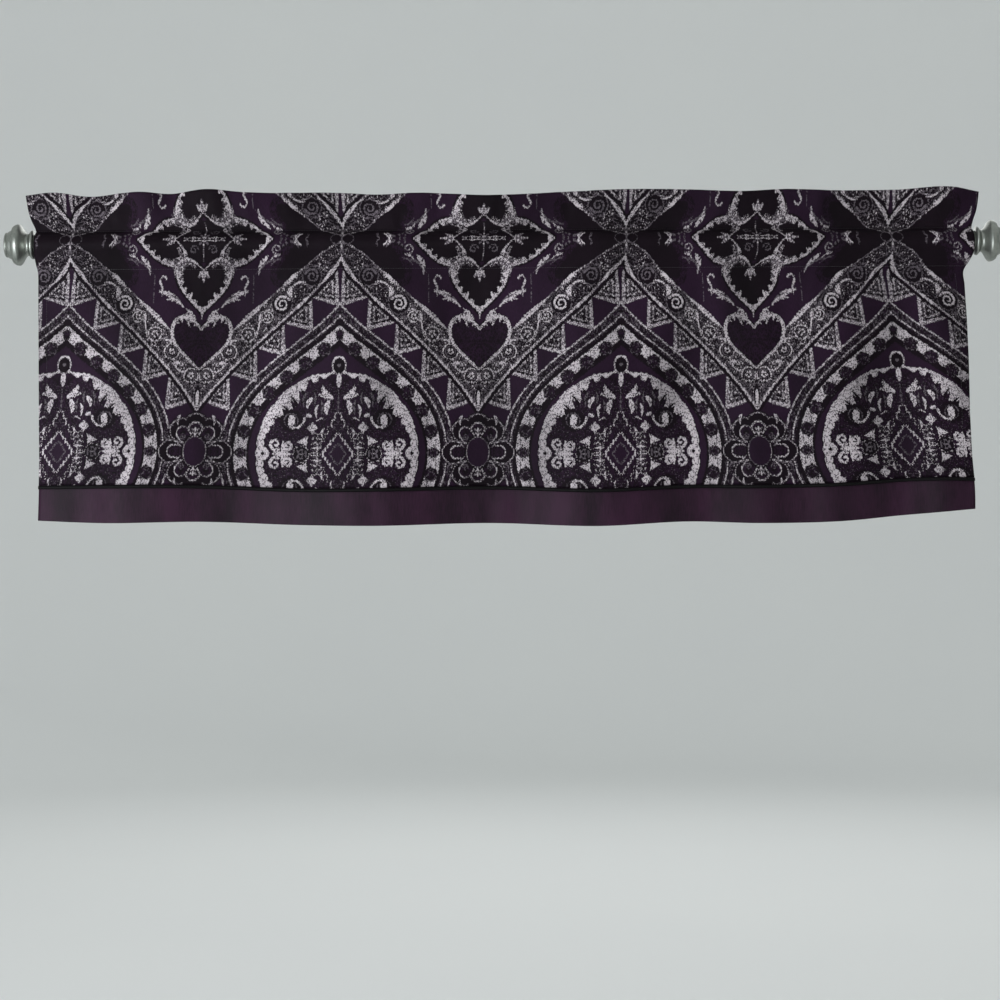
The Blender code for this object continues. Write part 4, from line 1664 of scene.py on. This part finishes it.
    def build(self, chart: DamaskChart, material: Material) -> Piece:
        """Build the cloth and weave the chart into it.

        Args:
            chart: The painted chart.
            material: The damask.

        Returns:
            The cloth.
        """
        middle, path, across = self.layers()
        middle = self.ruffled(middle, path, across)
        self.sewn = self.seams(middle, across)
        # The turned-in side hems: more cloth behind, clear of the band's lap
        hemmed = np.abs(across)[None, :] > self.drape.cut_width / 2 - self.drape.side_hem
        rows = np.arange(len(path))[:, None]
        hanging = (rows > 6) & (rows < self.body_rows)
        reverse = self.half_thick + np.where(hemmed & hanging, self.drape.side_hem_extra, 0.0)
        sheet = FoldedSheet(middle, np.full(middle.shape[:2], self.half_thick), reverse)
        piece = sheet.build("damask_cloth", path, across, material)
        total = len(piece.data.polygons)
        for name, codes in zip(CODE_NAMES, self.chart_codes(chart, path, across)):
            each = len(codes)
            numbers = np.zeros((total, 3), np.float32)
            numbers[:2 * each] = np.tile(codes, (2, 1))
            layer = piece.data.attributes.new(name, "FLOAT_VECTOR", "FACE")
            layer.data.foreach_set("vector", numbers.ravel())
        wrong_side = np.zeros(total, np.float32)
        wrong_side[each:2 * each] = 1.0
        piece.data.attributes.new("reverse", "FLOAT", "FACE").data.foreach_set("value", wrong_side)
        return piece


@dataclass
class Band:
    """The bottom band: a strip of sateen folded along the hem, lapped up behind the damask."""

    drape: Drape
    columns: int = 264
    side_rows: int = 20
    fold_rows: int = 6
    lap: float = 14 * MM
    thick: float = 2.0 * MM
    half_thick: float = 0.35 * MM
    wave: float = 0.7 * MM
    sewn: list = field(init=False, default_factory=list)

    def build(self, material: Material) -> Piece:
        """Build the band: down the front, round the hem as half an ellipse and up the back.

        Args:
            material: The sateen.

        Returns:
            The band.
        """
        drape = self.drape
        across = drape.places(self.columns)
        seam = drape.seam_height(across)
        hem = drape.hem_line(across)
        top = seam + self.lap
        fold_top = hem + 1.6 * MM
        near = drape.gap + self.half_thick
        far = drape.gap + self.thick - self.half_thick
        sections = []
        for share in np.linspace(0.0, 1.0, self.side_rows + 1):
            z = fold_top + (top - fold_top) * share
            sections.append((drape.fold_back(across, z) + near, z))
        front = sections[::-1]
        back = [(y + far - near, z) for y, z in sections]
        round_hem = []
        for angle in np.linspace(0.0, math.pi, self.fold_rows + 1)[1:-1]:
            y = drape.fold_back(across, hem) + (near + far) / 2 - (far - near) / 2 * math.cos(angle)
            round_hem.append((y, fold_top - (fold_top - hem - self.half_thick) * math.sin(angle)))
        rows = front + round_hem + back
        middle = np.stack([drape.hung(across, y, z) for y, z in rows])
        fall = np.clip((seam - middle[..., 2]) / (20 * MM), 0.0, 1.0)
        place = across[None, :]
        height = middle[..., 2]
        waves = ripple(place, height, 75 * MM, 21) + 0.6 * ripple(place, height, 34 * MM, 22)
        middle[..., 1] -= self.wave * waves * fall
        path = run_down(middle)
        # Rows run down the front, so the sheet is turned over to keep its face outside
        sheet = FoldedSheet(middle[::-1], self.half_thick, self.half_thick)
        normal = sheet.normals()
        self.sewn = [(sheet.middle[1] + normal[1] * self.half_thick, normal[1])]
        return sheet.build("sateen_band", -path[::-1], across, material)


@dataclass
class Piping:
    """The covered cord in the seam between the damask and the band."""

    drape: Drape
    columns: int = 660
    sides: int = 14
    crease_pitch: float = 4.2 * MM
    crease_depth: float = 0.07 * MM

    def build(self, material: Material) -> Piece:
        """Build the piping: a circle carried along the seam line, with creases of its bias strip.

        Args:
            material: The black satin.

        Returns:
            The piping.
        """
        drape = self.drape
        across = drape.places(self.columns)
        seam = drape.seam_height(across)
        middle = drape.fold_back(across, seam) - drape.piping_radius
        angle = round_steps(self.sides)
        slant = math.tau * across[None, :] / self.crease_pitch + angle[:, None]
        crease = np.sin(slant + ripple(across, across, 40 * MM, 31))
        radius = drape.piping_radius + self.crease_depth * crease
        y = middle + radius * np.cos(angle)[:, None]
        z = seam - radius * np.sin(angle)[:, None]
        points = drape.hung(across, y, z)
        faces = tube_faces(self.sides, len(across))
        piece = put_mesh("seam_piping", points.reshape(-1, 3), faces, material)
        turn = np.repeat(angle * drape.piping_radius, len(across))
        flat = np.stack([np.tile(across, self.sides), turn], axis=-1)
        corners = flat[faces]
        wraps = np.ptp(corners[..., 1], axis=1) > math.pi * drape.piping_radius
        shift = wraps[:, None] & (corners[..., 1] < math.pi * drape.piping_radius)
        corners[..., 1] += np.where(shift, math.tau * drape.piping_radius, 0.0)
        put_map(piece, "threads", corners)
        return piece


@dataclass
class Stitches:
    """Rows of lockstitch: small bars of thread that lie on the cloth along a seam."""

    length: float = 2.7 * MM
    pitch: float = 3.4 * MM
    radius: float = 0.24 * MM
    sides: int = 6
    rings: int = 4

    def build(self, name: str, seams: list[tuple[Array, Array]], material: Material) -> Piece:
        """Build stitches along seams.

        Each stitch is a bar whose radius and height over the cloth rise and fall as a half sine wave.

        Args:
            name: The piece's name.
            seams: For each seam, the points of its line and the directions out of the cloth.
            material: The thread.

        Returns:
            The stitches.
        """
        share = np.linspace(0.0, 1.0, self.rings)
        angle = round_steps(self.sides)
        cos, sin = np.cos(angle)[:, None, None], np.sin(angle)[:, None, None]
        bars = []
        for line, out in seams:
            run = run_along(line)
            starts = np.arange(self.pitch, run[-1] - self.pitch, self.pitch)
            places = starts[:, None] + self.length * share[None, :]
            centre = np.stack([np.interp(places, run, line[:, k]) for k in range(3)], axis=-1)
            lift = np.stack([np.interp(places, run, out[:, k]) for k in range(3)], axis=-1)
            lift /= np.linalg.norm(lift, axis=-1, keepdims=True)
            way = np.gradient(centre, axis=1)
            way /= np.linalg.norm(way, axis=-1, keepdims=True)
            sideways = np.cross(way, lift)
            bulge = self.radius * np.sin(math.pi * np.clip(share, 0.06, 0.94))[None, :, None] ** 0.6
            centre = centre + lift * 0.5 * bulge
            # One row of points along the bar for each of its sides
            spokes = sideways[None] * cos[..., None] + lift[None] * sin[..., None]
            bar = centre[None] + bulge[None] * spokes
            bars.append(np.moveaxis(bar, 0, 1).reshape(len(starts), -1, 3))
        points = np.concatenate(bars)
        each = self.sides * self.rings
        faces = tube_faces(self.sides, self.rings)[None] + (np.arange(len(points)) * each)[:, None, None]
        return put_mesh(name, points.reshape(-1, 3), faces.reshape(-1, 4), material)


@dataclass
class TurnedPiece:
    """A piece turned on the rod's axis from a profile of rings."""

    sides: int = 96

    def build(
        self, name: str, along: Array, radius: Array, material: Material, bored: bool = False
    ) -> Piece:
        """Turn the profile: each ring of points is a circle of its radius at its place along X.

        Args:
            name: The piece's name.
            along: Places along X, rising on the outer skin.
            radius: Radius at each place.
            material: The metal.
            bored: The profile goes back through a bore to its first place; otherwise both ends are closed.

        Returns:
            The turned piece.
        """
        angle = round_steps(self.sides)
        x = np.broadcast_to(along[None, :], (self.sides, len(along)))
        y = -radius[None, :] * np.cos(angle)[:, None]
        z = radius[None, :] * np.sin(angle)[:, None]
        points = np.stack([x, y, z], axis=-1).reshape(-1, 3)
        if bored:
            faces = grid_faces(self.sides, len(along), close=True, ring=True)
        else:
            faces = tube_faces(self.sides, len(along))
        return put_mesh(name, points, faces, material)


@dataclass
class Rod(TurnedPiece):
    """The plain tube between the two collars."""

    radius: float = 14 * MM
    wall: float = 1.2 * MM
    end: float = 650.8 * MM
    lip: float = 0.3 * MM

    def make(self, material: Material) -> Piece:
        """Build the tube: out along its skin and back along its bore, with rounded lips.

        Args:
            material: The metal.

        Returns:
            The rod.
        """
        lip = self.lip
        inner = self.radius - self.wall
        long = np.linspace(-self.end + lip, self.end - lip, 60)
        along = np.concatenate([[-self.end], long, [self.end, self.end], long[::-1], [-self.end]])
        outside = np.full(len(long), self.radius)
        bore = np.full(len(long), inner)
        edge = [self.radius - lip, inner + lip]
        radius = np.concatenate([edge[:1], outside, edge, bore, edge[1:]])
        return self.build("rod_tube", along, radius, material, bored=True)


@dataclass
class Finial(TurnedPiece):
    """A turned knob: a collar, a neck, a bulb with a stepped crown and a flat button."""

    end: End = End.LEFT
    collar_face: float = 651.2 * MM
    spigot_length: float = 30 * MM
    spigot_radius: float = 12.4 * MM

    def rings(self) -> Array:
        """The knob's profile, as rows of distance from the collar's inner face and radius, in mm.

        The bulb swells from the neck to its widest ring as half a cosine wave, and curves in from there
        as a parabola to the step at its crown. Corners are eased by a few rings each.

        Returns:
            The rows, from the inner face outwards.
        """
        collar = [
            (0, 18.2), (0.2, 18.8), (0.9, 19.5), (1.6, 19.8), (2.6, 19.8),
            (3.4, 19.4), (4.4, 18.2), (5.6, 16.4), (6.4, 15.5), (7.2, 15.0),
        ]
        share = np.linspace(0.0, 1.0, 22)
        swell = np.stack([8 + 12.5 * share, 15 + 13.6 * (1 - np.cos(math.pi * share)) / 2], axis=-1)
        share = np.linspace(0.0, 1.0, 12)[1:]
        crown = np.stack([20.5 + 7.3 * share, 28.6 - 2.9 * share**2], axis=-1)
        tip = [
            (28.1, 25.1), (28.1, 24.0), (27.9, 22.4), (27.9, 21.8), (28.2, 21.3), (29.6, 20.7), (31.5, 19.9),
            (33.5, 18.9), (35.2, 17.8), (35.8, 17.0), (36.0, 16.5), (36.3, 16.6), (36.7, 17.0), (37.4, 17.2),
            (38.2, 17.1), (38.8, 16.7), (39.1, 16.1), (39.3, 15.0), (39.35, 10.0), (39.4, 4.0), (39.4, 0.02),
        ]
        return np.vstack([collar, swell, crown, tip])

    def make(self, material: Material) -> Piece:
        """Build the finial with the spigot that plugs into the rod.

        Args:
            material: The metal.

        Returns:
            The finial.
        """
        knob = self.rings() * MM
        inside = self.collar_face - self.spigot_length
        plug = self.spigot_radius
        spigot = np.array([(inside, 0.02 * MM), (inside, plug), (self.collar_face, plug)])
        profile = np.vstack([spigot, knob + (self.collar_face, 0.0)])
        if self.end is End.LEFT:
            profile = (profile * (-1, 1))[::-1]
        return self.build(f"knob_{self.end.name.lower()}", profile[:, 0], profile[:, 1], material)


@dataclass
class Studio:
    """A plain pale floor with soft light, and the camera of the photograph."""

    floor_height: float = -1.25
    floor_reach: float = 5.5
    floor_corners: int = 72
    cove: float = 1.6
    wall_height: float = 3.2
    distance: float = 3.0
    target_x: float = -7.8 * MM
    target_z: float = -356 * MM
    pixel: float = 1.385 * MM
    picture_width: int = 1000
    sensor: float = 36.0
    roll: float = 0.25

    def floor(self, material: Material) -> Piece:
        """Build the floor, whose edge rises far away in a round cove, open above.

        Args:
            material: The paper.

        Returns:
            The floor.
        """
        bend, corners = self.cove, self.floor_corners
        angle = np.linspace(0.0, math.pi / 2, 16)
        cove = self.floor_reach - bend + bend * np.sin(angle)
        reach = np.concatenate([[0.5, 1.2, 2.5], cove, [self.floor_reach]])
        height = np.concatenate([[0.0, 0.0, 0.0], bend * (1 - np.cos(angle)), [self.wall_height]])
        turn = round_steps(corners)[:, None]
        x = reach[None, :] * np.cos(turn)
        y = reach[None, :] * np.sin(turn)
        z = np.broadcast_to(self.floor_height + height[None, :], x.shape)
        points = np.stack([x, y, z], axis=-1).reshape(-1, 3)
        # Half as many faces as corners fan out from the floor's middle
        even = np.arange(0, corners, 2)
        hub = np.full(len(even), len(points))
        rim = [(even + step) % corners * len(reach) for step in (0, 1, 2)]
        points = np.vstack([points, (0.0, 0.0, self.floor_height)])
        sheet = grid_faces(corners, len(reach), close=True)[:, ::-1]
        faces = np.vstack([sheet, np.stack([hub, *rim], axis=-1)])
        floor = put_mesh("studio_floor", points, faces, material)
        return floor

    def light(self, name: str, place: tuple, size: tuple, watts: float, colour: str) -> None:
        """Hang a soft rectangular light that faces the valance.

        Args:
            name: Its name.
            place: Its place in metres.
            size: Its width and height in metres.
            watts: Its power.
            colour: Its colour.
        """
        lamp = bpy.data.lights.new(name, "AREA")
        lamp.shape = "RECTANGLE"
        lamp.size, lamp.size_y = size
        lamp.energy = watts
        lamp.color = linear(colour)[:3]
        hung = bpy.data.objects.new(name, lamp)
        bpy.context.scene.collection.objects.link(hung)
        hung.location = place
        aim = Vector((0.0, 0.0, -0.15)) - Vector(place)
        hung.rotation_euler = aim.to_track_quat("-Z", "Y").to_euler()

    def lights(self) -> None:
        """Light the scene: a key from the left, a fill from the right, one behind and an even pale sky."""
        world = bpy.data.worlds.new("studio_sky")
        bpy.context.scene.world = world
        world.use_nodes = True
        tree = world.node_tree
        tree.nodes.clear()
        sky = add_node(tree, "Background", {0: linear("#dfe4e3"), 1: 0.78})
        add_node(tree, "OutputWorld", {0: sky.outputs[0]})
        self.light("key_light", (-1.7, -2.2, -0.5), (1.5, 1.5), 70.0, "#f6faff")
        self.light("fill_light", (2.6, -2.8, 0.6), (1.8, 1.8), 6.0, "#fff8f0")
        self.light("back_light", (0.5, 3.0, 1.2), (3.0, 1.6), 26.0, "#ffffff")

    def camera(self) -> None:
        """Set the camera straight before the valance, framed and turned as in the photograph."""
        data = bpy.data.cameras.new("camera")
        data.sensor_width = self.sensor
        data.lens = self.sensor * self.distance / (self.picture_width * self.pixel)
        data.clip_start, data.clip_end = 0.05, 50.0
        eye = bpy.data.objects.new("camera", data)
        bpy.context.scene.collection.objects.link(eye)
        eye.location = (self.target_x, -self.distance, self.target_z)
        eye.rotation_euler = (math.pi / 2, math.radians(self.roll), 0.0)
        bpy.context.scene.camera = eye


def settle(piece: Piece, slot: str, *nodes: str) -> Piece:
    """Let a piece ride on the body, stand for its CAD nodes, and report it."""
    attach(piece, "root")
    if nodes:
        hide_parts(*nodes)
    LOG.info("%s: %d points, %d faces", piece.name, len(piece.data.vertices), len(piece.data.polygons))
    return piece


def main() -> None:
    """Build the valance's pieces in order, dress them, and set up the studio."""
    logging.basicConfig(level=logging.INFO)
    bpy.context.scene.view_settings.view_transform = "Standard"
    drape = Drape()
    chart = DamaskChart()
    chart.paint()
    LOG.info("chart: %d by %d cells", *chart.tones.shape)
    thread = SewingThread().make()
    pewter = SatinPewter().make()

    damask = FaceCloth(drape)
    cloth = settle(damask.build(chart, JacquardDamask().make()), "damask", "cloth")
    pocket_seams = settle(Stitches().build("pocket_stitches", damask.sewn[0], thread), "damask")
    side_seams = settle(Stitches().build("side_hem_stitches", damask.sewn[1], thread), "damask")
    strip = Band(drape)
    band = settle(strip.build(PlumSateen().make()), "satin", "band")
    lap_seam = settle(Stitches().build("lap_stitches", strip.sewn, thread), "satin")
    settle(Piping(drape).build(CoveredCord().make()), "cord", "piping")
    settle(Rod().make(pewter), "pewter", "rod")
    settle(Finial(end=End.LEFT).make(pewter), "pewter", "finial_left")
    settle(Finial(end=End.RIGHT).make(pewter), "pewter", "finial_right")

    studio = Studio()
    studio.floor(StudioPaper().make())
    studio.lights()
    studio.camera()


if __name__ == "__main__":
    main()
